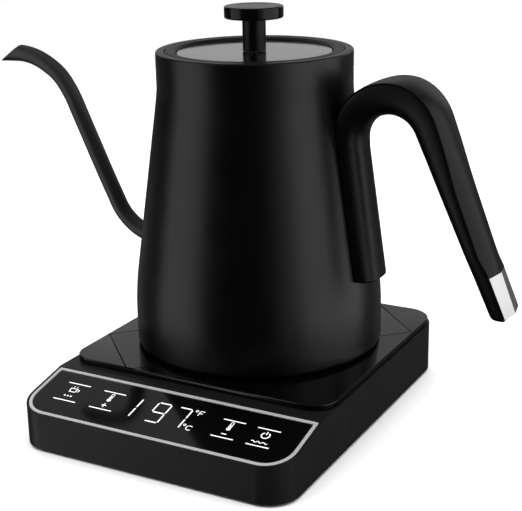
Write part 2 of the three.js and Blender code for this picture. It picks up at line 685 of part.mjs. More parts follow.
function addKettle(group) {
  const bore = spoutTube(SPOUT_BORE, 10);
  addPiece(group, 'kettle_body', kettleBody(bore), matteBlack);
  addPiece(group, 'spout_tube', spout(bore), matteBlack);
  addPiece(group, 'handle_core', handleCore(), softBlack);
  const insertFrom = tip - GRIP_STEPS * INSERT_LENGTH / GRIP_LENGTH;
  const cover = loft(span(COVER_FROM, insertFrom - 0.04).map((place) => skinRing(place, 6, 2)));
  addPiece(group, 'handle_cover', cut(cover, kettleEnvelope(GAP)), softBlack);
  const insert = loft(span(insertFrom, tip).map((place) => skinRing(place, 2, 1)));
  addPiece(group, 'handle_end_insert', insert, brightMetal);
  addPiece(group, 'handle_bracket_upper', onWall(bracket(true), UPPER_BRACKET), steel);
  addPiece(group, 'handle_bracket_lower', onWall(bracket(false), LOWER_BRACKET), steel);
  const handleScrew = moved(screw(13, 2.4, 1.8).rotateX(Math.PI), BRACKET_BORE_AT, 0, 12 + GAP);
  addPiece(group, 'handle_screw', onWall(handleScrew, UPPER_BRACKET), steel);
  addPiece(group, 'heating_plate', heatingPlate(), steel);
  addPiece(group, 'heating_element', heatingElement(), steel);
  addPiece(group, 'temperature_sensor', disc(SENSOR_RADIUS, 15, FLOOR_HEIGHT + 4, 16), steel);
  addPiece(group, 'thermal_cutout', disc(7, 15, FLOOR_HEIGHT - GAP, 24), nylon).position.set(14, 16, 0);
  const seal = ring(60.5, PLATE_RADIUS, FLOOR_HEIGHT - 3, FLOOR_HEIGHT - GAP, BODY_SEGMENTS);
  addPiece(group, 'base_seal', seal, silicone);
  addPiece(group, 'kettle_socket', socket(), nylon);
  addPiece(group, 'kettle_base_cover', baseCover(), softBlack);
  coverScrews.forEach(([x, y], i) => {
    const place = [x, y, COVER_HEAD_SINK - GAP];
    addPiece(group, `cover_screw_${i + 1}`, screw(10, 2.8, 1), steel).position.set(...place);
  });
}

// ---------------------------------------------------------------- lid
function lidCap() {
  const bottom = RECESS_FLOOR - CAP_THICKNESS;
  return turned([
    [LID_HOLE, bottom], [LID_RADIUS, bottom], [LID_RADIUS, -0.6], [LID_RADIUS - 0.6, 0],
    [RECESS_RADIUS + RECESS_BEVEL.width, 0], [RECESS_RADIUS, -RECESS_BEVEL.depth],
    [RECESS_RADIUS, RECESS_FLOOR], [LID_HOLE, RECESS_FLOOR],
  ], 36);
}

function lidCup() {
  const { radius, deep, wall } = CUP;
  const top = RECESS_FLOOR - CAP_THICKNESS - GAP;
  return turned([
    [LID_HOLE, top - wall], [radius - wall, top - wall], [radius - wall, deep],
    [radius, deep], [radius, top], [LID_HOLE, top],
  ], 32);
}

function lidGasket() {
  const { inner, groove, low, high } = GASKET;
  const lip = LID_RADIUS;
  return turned([
    [inner, low], [groove, low], [lip, low + 1], [groove, low + 2.4], [lip, low + 3.8],
    [groove, high], [inner, high],
  ], 32);
}

function knobDisc() {
  const { radius, low, high, round } = KNOB;
  return turned([
    [0, high], [radius - round, high], [radius, high - round], [radius, low + round],
    [radius - round, low], [SCREW_HOLE, low], [SCREW_HOLE, high - 2], [0, high - 2],
  ], 32);
}

function addLid(group) {
  addPiece(group, 'lid_cap', lidCap(), softBlack);
  addPiece(group, 'lid_disc', ring(2, DISC_RADIUS, RECESS_FLOOR + GAP, DISC_TOP, 36), discGrey);
  addPiece(group, 'lid_cup', lidCup(), steel);
  addPiece(group, 'lid_gasket', lidGasket(), silicone);
  addPiece(group, 'knob_stem', ring(SCREW_HOLE, STEM_RADIUS, DISC_TOP + GAP, KNOB.low - GAP, 24), softBlack);
  addPiece(group, 'knob_disc', knobDisc(), softBlack);
  const cupUnderside = RECESS_FLOOR - CAP_THICKNESS - CUP.wall - GAP;
  const washer = ring(SCREW_HOLE + 0.1, 5.5, cupUnderside - 1 - GAP, cupUnderside - GAP, 16);
  addPiece(group, 'knob_washer', washer, steel);
  const screwSeat = cupUnderside - 1 - 2 * GAP;
  addPiece(group, 'knob_screw', screw(KNOB.high - 3 - screwSeat, 3.4, 1.8), steel).position.z = screwSeat;
}

// ---------------------------------------------------------------- the whole object
const part = new THREE.Group();
const onAxis = new THREE.Group();
const kettle = new THREE.Group();
const lid = new THREE.Group();
part.add(onAxis);
onAxis.add(kettle);
kettle.add(lid);
onAxis.position.set(KETTLE_AXIS.x, KETTLE_AXIS.y, 0);
kettle.position.z = KETTLE_SEAT;
lid.position.z = BODY_HEIGHT;
addBase(onAxis);
addPiece(onAxis, 'connector_shutter', ring(10.5, 13.5, 31, KETTLE_SEAT + 5 - GAP, 24), nylon);
addKettle(kettle);
addLid(lid);

export default part;
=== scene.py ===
"""Looks of the gooseneck kettle and its temperature-control base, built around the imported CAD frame.

Shapes are given in millimetres about the kettle's own axis, with heights above the table.
"""
import math

import bpy
from mathutils import Matrix, Vector


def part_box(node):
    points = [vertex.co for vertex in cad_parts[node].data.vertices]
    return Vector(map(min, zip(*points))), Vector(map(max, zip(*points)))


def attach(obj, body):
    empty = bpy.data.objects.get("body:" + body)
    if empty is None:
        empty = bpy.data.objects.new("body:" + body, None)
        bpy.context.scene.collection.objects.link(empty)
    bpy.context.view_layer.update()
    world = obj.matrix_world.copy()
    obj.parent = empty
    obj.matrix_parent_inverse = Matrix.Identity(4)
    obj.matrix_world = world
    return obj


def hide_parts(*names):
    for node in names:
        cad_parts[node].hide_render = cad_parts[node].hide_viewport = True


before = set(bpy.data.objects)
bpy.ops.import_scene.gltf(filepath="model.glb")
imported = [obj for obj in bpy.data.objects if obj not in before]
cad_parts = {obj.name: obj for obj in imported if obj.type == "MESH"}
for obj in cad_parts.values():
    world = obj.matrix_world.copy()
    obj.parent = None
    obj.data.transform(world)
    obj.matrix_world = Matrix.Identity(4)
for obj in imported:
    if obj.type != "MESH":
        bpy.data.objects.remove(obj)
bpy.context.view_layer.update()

# -------------------- driving dimensions, mm
MM = 0.001
knob_low, knob_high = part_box("knob_disc")
AXIS = Vector(((knob_low.x + knob_high.x) / 2, (knob_low.y + knob_high.y) / 2, 0))
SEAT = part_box("kettle_body")[0].z / MM
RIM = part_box("kettle_body")[1].z / MM
GAP = 0.3  # between neighbouring pieces
OVERRUN = 5  # how far a cutting tool runs past what it cuts

# Base
HALF_WIDTH, FRONT, REAR, CORNER, WALL = 75, -117, 72.4, 15.5, 2.4
FOOT_PROUD, FOOT_RADIUS, FOOT_ROOF = 1.5, 7, 2.5
SLAB_TOP, FRONT_TOP, SLOPE_REAR = 28.4, 20.2, -78.2
SLOPE = math.atan2(SLAB_TOP - FRONT_TOP, SLOPE_REAR - FRONT)
PANEL_BORDER, PANEL_POCKET, PANEL_REAR_CORNER, TRIM_WIDTH, PANE_SINK = 0.9, 2, 0.6, 2.1, 0.1
WINDOW_HALF_WIDTH, WINDOW_CORNER, WINDOW_LOW = 62.5, 3, 7.5
WINDOW_FRONT, WINDOW_REAR = FRONT + 11, SLOPE_REAR - 6
DECK_TOP, DECK_INSET, DECK_FRONT, DECK_CORNER = 31.4, 1, -71.2, 12
GROOVE_WIDTH, GROOVE_DEPTH, GROOVE_BAND, GROOVE_END = 0.7, 0.6, 25.7, 77.8
COVER_THICKNESS = 2.5
GLAND_HEIGHT, GLAND_HOLE = 15, 6
ABOVE_BASE = 60  # where tools that cut the base from above begin

# Connector
BOSS_RADIUS, BOSS_TOP, BOSS_LOW = 19, 42.4, 22
SLOT_INNER, SLOT_OUTER, SLOT_FLOOR = 9, 15, 30
PIN_RADIUS, PIN_HOLE, PIN_LOW, PIN_SINK = 3.4, 4, 18, 1.4
CONTACT_THICKNESS, CONTACT_TOP = 0.7, 39
SHUTTER_INNER, SHUTTER_OUTER, SHUTTER_LOW, SHUTTER_TOP = 10.5, 13.5, 31, SEAT + 4.7

# Kettle, in heights above its own underside
BODY_HEIGHT = RIM - SEAT
BODY_WALL = 1
BODY_RADIUS, BODY_STRAIGHT, FOOT_ROUND = 65.3, 17, 3.1
CONE_LOW, CONE_HIGH = (63.5, 41), (50.62, 129)
LEAN = (CONE_LOW[0] - CONE_HIGH[0]) / (CONE_HIGH[1] - CONE_LOW[1])
NECK_RADIUS, NECK_LOW, NECK_STRAIGHT = 50, 137.4, 2
RIM_INNER, RIM_COLLAR, RIM_ROUND, RIM_THICKNESS = 45.6, 12, 1.2, 1.6
SKIRT_INNER, HEM_LOW, HEM_HIGH = 61.5, 0.2, 1.4
FLOOR_HEIGHT, FLOOR_THICKNESS, PLATE_RADIUS, SENSOR_RADIUS = 20, 2.4, 63.5, 4
SOCKET_LOW, SOCKET_TOP, SOCKET_RADIUS = 0.9, 14.6, 23.8

# Spout, as a route in its own plane: distance from the axis and height above the kettle's underside
SPOUT_RADIUS, SPOUT_BORE, SPOUT_CLEARANCE = 4.6, 3.8, 0.1
SPOUT_ROUTE = [
    (-56, 45), (-66, 46.4), (-76.5, 50.6), (-85, 58), (-91.5, 70), (-98, 83.5), (-104.6, 97.8),
    (-111.2, 112), (-116.2, 122.4), (-122.6, 131.2), (-130, 136.8), (-138.5, 140.8), (-147, 142.6),
    (-156, 142.6), (-169, 141.9),
]
MOUTH_LIP, MOUTH_TOP, MOUTH_HOLLOW = (-165.3, 136.7), (-149, 147.4), 0.9
WELD, WELD_REACH = 1.1, 1.6
SPOUT_SIDES, SPOUT_STEPS, SPOUT_CROWDING = 64, 150, 1.25

# Handle: its place runs from 0 at the strap's lower end to TIP; an arc is its centre and radius;
# the crown is the outer skin's thickness at shares of its length
STRAP_END, ARC_END, TIP = 4, 15, 24
ARC_OUTER, ARC_INNER = (78, 114.8, 29), (75.7, 111.8, 14.3)
GRIP_OUTER_TILT, GRIP_INNER_TILT = math.radians(21.3), math.radians(25.3)
GRIP_LENGTH, GRIP_TAPER = 98, 4.5
RAILS = ((ARC_INNER, GRIP_INNER_TILT, GRIP_LENGTH - GRIP_TAPER), (ARC_OUTER, GRIP_OUTER_TILT, GRIP_LENGTH))
STRAP_PROUD, STRAP_SINK, STRAP_SLANT, STRAP_LOW = 7.9, 6, 1.5, 42.5
STRAP_HALF_WIDTH, TIP_HALF_WIDTH = 14, 11
COVER_FROM, INSERT_LENGTH, INSERT_SEAM = 5.2, 21.5, 0.03
CORE_EDGE, SIDE_FULLNESS = 0.35, 2.6
SKIN_EDGE, SKIN_DRAFT, SKIN_STEPS, SKIN_ROUNDNESS = 0.6, 0.1, 28, 2.2
TIP_DOME, TIP_DRAW, TIP_STEPS = 1.9, 0.22, 6
CROWN = [(0, 1), (0.3, 1.4), (0.55, 3.6), (0.7, 5.2), (0.84, 5.2), (0.9, 3.2), (1, 2.6)]

# Lid, in heights above the rim
LID_RADIUS, LID_HOLE, CAP_THICKNESS = RIM_INNER - GAP, 2.4, 1.5
RECESS_RADIUS, RECESS_FLOOR, BEVEL_WIDTH, BEVEL_DEPTH = 39.8, -2.4, 1.9, 1
DISC_RADIUS, DISC_TOP, DISC_HOLE = 39.2, -1.2, 2
CUP_RADIUS, CUP_LOW, CUP_WALL = 42.6, -22, 1
SEAL_ROOT, SEAL_LOW, SEAL_HIGH, RIB_LOW, RIB_HIGH = 44, -11, -5.6, -10, -7.2
KNOB_RADIUS, KNOB_LOW, KNOB_HIGH, KNOB_ROUND = 14.9, 15.4, 21.4, 0.9
STEM_RADIUS, STEM_HOLE, STEM_HOLE_TOP = 5.9, 1.8, KNOB_HIGH - 2

# Fasteners
BASE_SCREW_HEAD, COVER_SCREW_HEAD, SCREW_SHANK, SCREW_HOLE = 3, 2.8, 1.4, 1.8
BASE_HEAD_HOLE, COVER_HEAD_HOLE = (3.3, 2.9), (3.2, 2.1)  # radius and roof
CROSS_LENGTH, CROSS_WIDTH, CROSS_DEPTH = 3.4, 0.6, 0.7

# Facets round a large turned piece, and steps of small rounds
FINE, FOOT_STEPS, ROUND_STEPS = 180, 8, 5


# -------------------- materials
COOL_WHITE = (0.95, 0.97, 1, 1)


def surface(name, dark, light, rough, grain_size, grain_depth, blotch_size=14, stretch=None,
            metallic=0, specular=0.5, glow=0):
    """A surface with a fine bump grain, and colour and gloss that drift over its blotches.

    dark, light: the two ends of the colour; rough: the two ends of the roughness; sizes in mm.
    """
    material = bpy.data.materials.new(name)
    material.use_nodes = True
    nodes, links = material.node_tree.nodes, material.node_tree.links
    shader = nodes["Principled BSDF"]
    place = nodes.new("ShaderNodeTexCoord").outputs["Object"]
    if stretch:
        mapping = nodes.new("ShaderNodeMapping")
        mapping.inputs["Scale"].default_value = stretch
        links.new(place, mapping.inputs["Vector"])
        place = mapping.outputs["Vector"]

    def noise(size, detail):
        texture = nodes.new("ShaderNodeTexNoise")
        texture.inputs["Scale"].default_value = 1 / (size * MM)
        texture.inputs["Detail"].default_value = detail
        links.new(place, texture.inputs["Vector"])
        return texture.outputs["Fac"]

    def spread(value, low, high):
        ramp = nodes.new("ShaderNodeMapRange")
        for end, limit in (("From Min", 0.3), ("From Max", 0.7), ("To Min", low), ("To Max", high)):
            ramp.inputs[end].default_value = limit
        links.new(value, ramp.inputs["Value"])
        return ramp.outputs["Result"]

    blotch, grain = noise(blotch_size, 3), noise(grain_size, 2)
    mix = nodes.new("ShaderNodeMix")
    mix.data_type = "RGBA"
    both = nodes.new("ShaderNodeMath")
    both.operation = "MULTIPLY_ADD"
    both.inputs[1].default_value = 0.5
    links.new(spread(grain, 0, 1), both.inputs[0])
    links.new(spread(blotch, 0, 0.5), both.inputs[2])
    links.new(both.outputs[0], mix.inputs["Factor"])
    mix.inputs["A"].default_value = (*dark, 1)
    mix.inputs["B"].default_value = (*light, 1)
    links.new(mix.outputs["Result"], shader.inputs["Base Color"])
    links.new(spread(blotch, *rough), shader.inputs["Roughness"])
    bump = nodes.new("ShaderNodeBump")
    bump.inputs["Distance"].default_value = grain_depth * MM
    links.new(grain, bump.inputs["Height"])
    links.new(bump.outputs["Normal"], shader.inputs["Normal"])
    shader.inputs["Metallic"].default_value = metallic
    shader.inputs["Specular IOR Level"].default_value = specular
    if glow:
        shader.inputs["Emission Strength"].default_value = glow
        shader.inputs["Emission Color"].default_value = COOL_WHITE
    return material


def grey(value):
    """A neutral colour, a touch cool."""
    return (value, value, value * 1.02)


coated = surface("coated_steel", grey(0.0005), grey(0.001), (0.31, 0.36), 0.35, 0.006)
coated_tube = surface("coated_tube", grey(0.005), grey(0.008), (0.46, 0.54), 0.4, 0.01, specular=0.9)
satin = surface("satin_plastic", grey(0.0012), grey(0.002), (0.36, 0.42), 0.5, 0.006, specular=0.3)
knob_black = surface("knob_plastic", grey(0.0015), grey(0.0025), (0.18, 0.22), 0.4, 0.003, specular=0.3)
moulded = surface("moulded_plastic", grey(0.005), grey(0.007), (0.36, 0.44), 0.6, 0.015, specular=0.25)
deck_skin = surface("deck_plastic", grey(0.0006), grey(0.001), (0.11, 0.15), 0.45, 0.003)
pane = surface("panel_glass", grey(0.0006), grey(0.001), (0.08, 0.1), 30, 0.001, 40)
trim = surface("panel_trim", grey(0.36), grey(0.42), (0.34, 0.42), 0.4, 0.004, metallic=0.2)
lit = surface("lit_marks", grey(0.78), grey(0.84), (0.4, 0.5), 0.5, 0.002, glow=0.3)
lid_grey = surface("lid_metal", grey(0.46), grey(0.5), (0.1, 0.14), 0.8, 0.002, 18, metallic=1)
bright = surface("bright_metal", grey(0.74), grey(0.8), (0.16, 0.22), 0.6, 0.002, metallic=1)
brushed = surface("brushed_steel", grey(0.42), grey(0.52), (0.24, 0.36), 0.5, 0.01, stretch=(1, 14, 14),
                  metallic=1)
plated = surface("plated_steel", grey(0.45), grey(0.54), (0.26, 0.34), 0.4, 0.004, metallic=1)
brass = surface("contact_brass", (0.42, 0.27, 0.06), (0.5, 0.33, 0.09), (0.22, 0.3), 0.4, 0.004, metallic=1)
rubber = surface("black_rubber", grey(0.005), grey(0.009), (0.7, 0.82), 0.7, 0.03, specular=0.3)
silicone = surface("pale_silicone", (0.62, 0.6, 0.55), (0.7, 0.68, 0.63), (0.55, 0.65), 1.2, 0.01)
nylon = surface("pale_nylon", (0.7, 0.67, 0.58), (0.78, 0.75, 0.66), (0.45, 0.55), 1, 0.015)
board = surface("circuit_board", (0.01, 0.06, 0.025), (0.018, 0.09, 0.04), (0.35, 0.5), 0.8, 0.02, 4)


# -------------------- mesh helpers
def spaced(start, end, count):
    return [start + (end - start) * i / count for i in range(count + 1)]


def full_turn(sides):
    return spaced(0, 2 * math.pi, sides)[:-1]


def place_mesh(name, points, faces, material, crease=32):
    """A mesh about the kettle's axis, smooth except at edges sharper than the crease angle."""
    mesh = bpy.data.meshes.new(name)
    mesh.from_pydata([AXIS + Vector(point) * MM for point in points], [], faces)
    mesh.polygons.foreach_set("use_smooth", [True] * len(mesh.polygons))
    mesh.set_sharp_from_angle(angle=math.radians(crease))
    mesh.materials.append(material)
    mesh.update()
    obj = bpy.data.objects.new(name, mesh)
    bpy.context.scene.collection.objects.link(obj)
    return obj


def outward(points, faces):
    """The faces turned to point out, judged by the signed volume that they enclose."""
    volume = 0
    for face in faces:
        a, b, c = (Vector(points[i]) for i in (face[0], face[1], face[2]))
        volume += a.dot(b.cross(c))
        if len(face) == 4:
            volume += a.dot(c.cross(Vector(points[face[3]])))
    return faces if volume > 0 else [tuple(reversed(face)) for face in faces]


def bend(start, control, end, steps):
    """Points on a quadratic curve, without its start."""
    points = []
    for i in range(1, steps + 1):
        t = i / steps
        points.append(tuple(
            (1 - t) ** 2 * a + 2 * t * (1 - t) * b + t * t * c for a, b, c in zip(start, control, end)))
    return points


def rounded(profile, radius):
    """A closed profile with its corners rounded off; a third value in a point is its own radius."""
    result = []
    for i, point in enumerate(profile):
        corner = Vector(point[:2])
        before = Vector(profile[i - 1][:2]) - corner
        after = Vector(profile[(i + 1) % len(profile)][:2]) - corner
        own = point[2] if len(point) > 2 else radius
        if own == 0 or corner.x == 0 or before.length * after.length == 0:
            result.append(tuple(corner))
            continue
        half = before.angle(after) / 2
        reach = min(own / math.tan(half), 0.45 * before.length, 0.45 * after.length)
        start, end = corner + before.normalized() * reach, corner + after.normalized() * reach
        result += [tuple(start), *bend(start, corner, end, ROUND_STEPS)]
    return result


def turned(profile, height=0, segments=FINE, centre=(0, 0)):
    """Points and faces of a closed profile of (radius, height) turned about the vertical."""
    points, rows = [], []
    for radius, z in profile:
        if radius == 0:
            rows.append([len(points)] * segments)
            points.append((centre[0], centre[1], z + height))
            continue
        rows.append(list(range(len(points), len(points) + segments)))
        for turn in full_turn(segments):
            x, y = centre[0] + radius * math.cos(turn), centre[1] + radius * math.sin(turn)
            points.append((x, y, z + height))
    faces = []
    for row, following in zip(rows, rows[1:] + rows[:1]):
        for k in range(segments):
            j = (k + 1) % segments
            quad = list(dict.fromkeys((row[k], row[j], following[j], following[k])))
            if len(quad) > 2:
                faces.append(tuple(quad))
    return points, outward(points, faces)


def cylinder(radius, low, high, segments=FINE, centre=(0, 0)):
    return turned([(0, low), (radius, low), (radius, high), (0, high)], 0, segments, centre)


def lofted(rings, closed=False):
    """Skins rings of equal length; an open run is closed by a face at each end."""
    sides = len(rings[0])
    points = [tuple(point) for one in rings for point in one]
    faces = []
    for i in range(len(rings) if closed else len(rings) - 1):
        near, far = i * sides, ((i + 1) % len(rings)) * sides
        for j in range(sides):
            k = (j + 1) % sides
            faces.append((near + j, near + k, far + k, far + j))
    skin = outward(points, faces)
    if not closed:
        last = (len(rings) - 1) * sides
        ends = [tuple(reversed(range(sides))), tuple(range(last, last + sides))]
        flipped = skin[0] != faces[0]
        skin += [tuple(reversed(end)) for end in ends] if flipped else ends
    return points, skin


def outline(half_width, front, rear, front_radius, rear_radius=None, steps=14):
    """A rectangle in plan with round corners, counter-clockwise."""
    rear_radius = front_radius if rear_radius is None else rear_radius
    points = []
    for i, (x, y, r) in enumerate([
            (half_width - front_radius, front + front_radius, front_radius),
            (half_width - rear_radius, rear - rear_radius, rear_radius),
            (rear_radius - half_width, rear - rear_radius, rear_radius),
            (front_radius - half_width, front + front_radius, front_radius)]):
        for k in range(steps + 1):
            turn = math.pi / 2 * (i - 1 + k / steps)
            points.append((x + r * math.cos(turn), y + r * math.sin(turn)))
    return points


def prism(plan, low, high):
    """A plan raised between two heights, each a number or a function of y."""
    def level(value, y):
        return value(y) if callable(value) else value
    return lofted([[(x, y, level(value, y)) for x, y in plan] for value in (low, high)])


def on_slope(depth):
    """A function from y to the height of the sloped front, lowered by a depth square to it."""
    return lambda y: FRONT_TOP + (y - FRONT) * math.tan(SLOPE) - depth / math.cos(SLOPE)


def across(side_view, half_width):
    """A side view of (y, z) points extruded across the whole width."""
    return lofted([[(x, y, z) for y, z in side_view] for x in (-half_width, half_width)])


def apply_modifiers(obj):
    graph = bpy.context.evaluated_depsgraph_get()
    mesh = bpy.data.meshes.new_from_object(obj.evaluated_get(graph))
    obj.modifiers.clear()
    obj.data = mesh


def combine(obj, shapes, operation="DIFFERENCE"):
    """Cuts each shape out of a piece, or keeps what they share."""
    for shape in shapes:
        tool = place_mesh("tool", *shape, obj.data.materials[0])
        modifier = obj.modifiers.new("cut", "BOOLEAN")
        modifier.operation = operation
        modifier.solver = "EXACT"
        modifier.object = tool
        apply_modifiers(obj)
        bpy.data.objects.remove(tool)


def round_edges(obj, width, segments, angle):
    modifier = obj.modifiers.new("round_edges", "BEVEL")
    modifier.width = width * MM
    modifier.segments = segments
    modifier.limit_method = "ANGLE"
    modifier.angle_limit = math.radians(angle)


def soften(obj, width, segments=3, angle=34):
    """Small round edges with even shading on the flats."""
    obj.data.polygons.foreach_set("use_smooth", [True] * len(obj.data.polygons))
    round_edges(obj, width, segments, angle)
    obj.modifiers.new("even_shading", "WEIGHTED_NORMAL").keep_sharp = True
    return obj


def stands_for(obj, body, slot, *nodes):
    """Ties a piece to its moving body and hides the CAD nodes that it replaces; the slot argument is not
    used.
    """
    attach(obj, body)
    if nodes:
        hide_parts(*nodes)


def build_turned(pieces, body, height=0):
    """Turned pieces of one body, each given as name, profile, material, slot and CAD node."""
    built = {}
    for name, profile, material, slot, node in pieces:
        built[name] = place_mesh(name, *turned(profile, height), material)
        stands_for(built[name], body, slot, node)
    return built


def middle_of(node):
    """The middle of a node's box in plan about the kettle's axis, and its lowest and highest z, in mm."""
    low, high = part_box(node)
    middle = ((low + high) / 2 - AXIS) / MM
    return (middle.x, middle.y), low.z / MM, high.z / MM


def screw_hole(node, head, low, top, height=0):
    """A stepped hole at a screw's place; head is the radius and the roof of its wider end."""
    centre, _, _ = middle_of(node)
    radius, roof = head
    profile = [(0, low), (radius, low), (radius, roof), (SCREW_HOLE, roof), (SCREW_HOLE, top), (0, top)]
    return turned(profile, height, 32, centre)


# -------------------- kettle body
def wall_points(clearance=0, top=BODY_HEIGHT):
    """The outer wall from the foot to the rim, as (radius, height above the kettle's underside)."""
    points = []
    for turn in spaced(-math.pi / 2, 0, FOOT_STEPS):
        foot_radius = BODY_RADIUS - FOOT_ROUND + FOOT_ROUND * math.cos(turn)
        points.append((foot_radius, FOOT_ROUND * (1 + math.sin(turn))))
    low, high = (BODY_RADIUS, BODY_STRAIGHT), (NECK_RADIUS, NECK_LOW)
    shoulder = (BODY_RADIUS, CONE_LOW[1] - (BODY_RADIUS - CONE_LOW[0]) / LEAN)
    throat = (NECK_RADIUS, CONE_HIGH[1] + (CONE_HIGH[0] - NECK_RADIUS) / LEAN)
    points += [low, *bend(low, shoulder, CONE_LOW, 12), CONE_HIGH, *bend(CONE_HIGH, throat, high, 10)]
    points.append((NECK_RADIUS, top))
    return [(radius + clearance, z) for radius, z in points]


WALL_POINTS = wall_points()


def wall_radius(height):
    for (r0, z0), (r1, z1) in zip(WALL_POINTS, WALL_POINTS[1:]):
        if z0 <= height <= z1 and z1 > z0:
            return r0 + (r1 - r0) * (height - z0) / (z1 - z0)
    return BODY_RADIUS


def envelope(clearance):
    """The whole kettle as one solid, which trims what stands against its wall."""
    top = BODY_HEIGHT + OVERRUN
    return turned([(0, -OVERRUN), (BODY_RADIUS - FOOT_ROUND + clearance, -OVERRUN),
                   *wall_points(clearance, top), (0, top)], SEAT)


def build_body():
    inner = [(r - BODY_WALL, z) for r, z in reversed(WALL_POINTS) if BODY_STRAIGHT < z < BODY_HEIGHT]
    collar, under_rim = BODY_HEIGHT - RIM_COLLAR, BODY_HEIGHT - RIM_THICKNESS
    rim = rounded([
        (NECK_RADIUS, NECK_LOW + NECK_STRAIGHT, 0), (NECK_RADIUS, BODY_HEIGHT, RIM_ROUND),
        (RIM_INNER, BODY_HEIGHT, 0.5), (RIM_INNER, collar, 0.3), (RIM_INNER + BODY_WALL, collar, 0.3),
        (RIM_INNER + BODY_WALL, under_rim, 0), (NECK_RADIUS - BODY_WALL, under_rim, 0)], 0)
    hem = [(BODY_RADIUS - BODY_WALL, BODY_STRAIGHT), (BODY_RADIUS - BODY_WALL, FOOT_ROUND),
           (SKIRT_INNER, HEM_HIGH), (SKIRT_INNER, HEM_LOW)]
    body = place_mesh("kettle_shell", *turned([*WALL_POINTS[:-1], *rim, *inner, *hem], SEAT), coated)
    bore = [circle_at(spout_point(share), SPOUT_BORE, 32) for share in (0, 0.02, 0.05, 0.1)]
    combine(body, [lofted(bore)])
    stands_for(body, "kettle", "coated_steel", "kettle_body")


# -------------------- spout
def spout_samples(per_span=24):
    """Points along a centripetal spline through the spout's route."""
    route = [Vector(point) for point in SPOUT_ROUTE]
    knots = [route[0] * 2 - route[1], *route, route[-1] * 2 - route[-2]]
    samples = []
    for a, b, c, d in zip(knots, knots[1:], knots[2:], knots[3:]):
        t1 = (b - a).length ** 0.5
        t2 = t1 + (c - b).length ** 0.5
        t3 = t2 + (d - c).length ** 0.5
        for i in range(per_span):
            t = t1 + (t2 - t1) * i / per_span
            ab, bc, cd = a.lerp(b, t / t1), b.lerp(c, (t - t1) / (t2 - t1)), c.lerp(d, (t - t2) / (t3 - t2))
            samples.append(ab.lerp(bc, t / t2).lerp(bc.lerp(cd, (t - t1) / (t3 - t1)), (t - t1) / (t2 - t1)))
    return samples + [route[-1]]


SPOUT_SAMPLES = spout_samples()
SPOUT_RUN = [0.0]
for nearer, farther in zip(SPOUT_SAMPLES, SPOUT_SAMPLES[1:]):
    SPOUT_RUN.append(SPOUT_RUN[-1] + (farther - nearer).length)
SPOUT_LENGTH = SPOUT_RUN[-1]


def spout_point(share):
    """Centre and direction at a share of the spout's length, in the plane of the spout."""
    run = min(max(share, 0), 1) * SPOUT_LENGTH
    i = next(i for i in range(1, len(SPOUT_RUN)) if SPOUT_RUN[i] >= run)
    near, far = SPOUT_SAMPLES[i - 1], SPOUT_SAMPLES[i]
    centre = near.lerp(far, (run - SPOUT_RUN[i - 1]) / (SPOUT_RUN[i] - SPOUT_RUN[i - 1]))
    before, after = SPOUT_SAMPLES[max(i - 3, 0)], SPOUT_SAMPLES[min(i + 2, len(SPOUT_SAMPLES) - 1)]
    return centre, (after - before).normalized()


def around(place, radius, turn):
    """A point on the tube's surface; a turn of 0 is the upper side."""
    (x, z), (dx, dz) = place
    up = radius * math.cos(turn)
    return (x + dz * up, radius * math.sin(turn), SEAT + z - dx * up)


def circle_at(place, radius, sides):
    return [around(place, radius, turn) for turn in full_turn(sides)]


def solve(inside, low, high):
    """The share at which a test turns from true to false."""
    for _ in range(26):
        middle = (low + high) / 2
        low, high = (middle, high) if inside(middle) else (low, middle)
    return low


def before_mouth(point):
    """True on the kettle's side of the mouth's cut, which is a shallow curve from lip to top."""
    lip, top = Vector(MOUTH_LIP), Vector(MOUTH_TOP)
    run = top - lip
    offset = Vector((point[0], point[2] - SEAT)) - lip
    along = offset.dot(run) / run.length_squared
    out = (offset.y * run.x - offset.x * run.y) / run.length
    return out < -MOUTH_HOLLOW * 4 * along * (1 - along)


def spout_line(radius, turn, weld=0):
    """A line along the tube from the kettle's wall to the mouth, flared by the weld where it starts."""
    def in_body(share):
        x, y, z = around(spout_point(share), radius, turn)
        return math.hypot(x, y) < wall_radius(z - SEAT) + SPOUT_CLEARANCE

    def before_cut(share):
        return before_mouth(around(spout_point(share), radius, turn))

    start, end = solve(in_body, 0, 0.4), solve(before_cut, 0.7, 1)
    line = []
    for i in range(SPOUT_STEPS + 1):
        share = start + (end - start) * (i / SPOUT_STEPS) ** SPOUT_CROWDING
        swell = weld * math.exp(-(share - start) * SPOUT_LENGTH / WELD_REACH)
        line.append(around(spout_point(share), radius + swell, turn))
    return line


def build_spout():
    outer = list(zip(*[spout_line(SPOUT_RADIUS, turn, WELD) for turn in full_turn(SPOUT_SIDES)]))
    bore = list(zip(*[spout_line(SPOUT_BORE, turn) for turn in full_turn(SPOUT_SIDES)]))
    lip = [Vector(a).lerp(Vector(b), 0.5) for a, b in zip(outer[-1], bore[-1])]
    tube = lofted([*outer, lip, *reversed(bore)], closed=True)
    stands_for(place_mesh("spout", *tube, coated_tube, crease=40), "kettle", "coated_steel", "spout_tube")


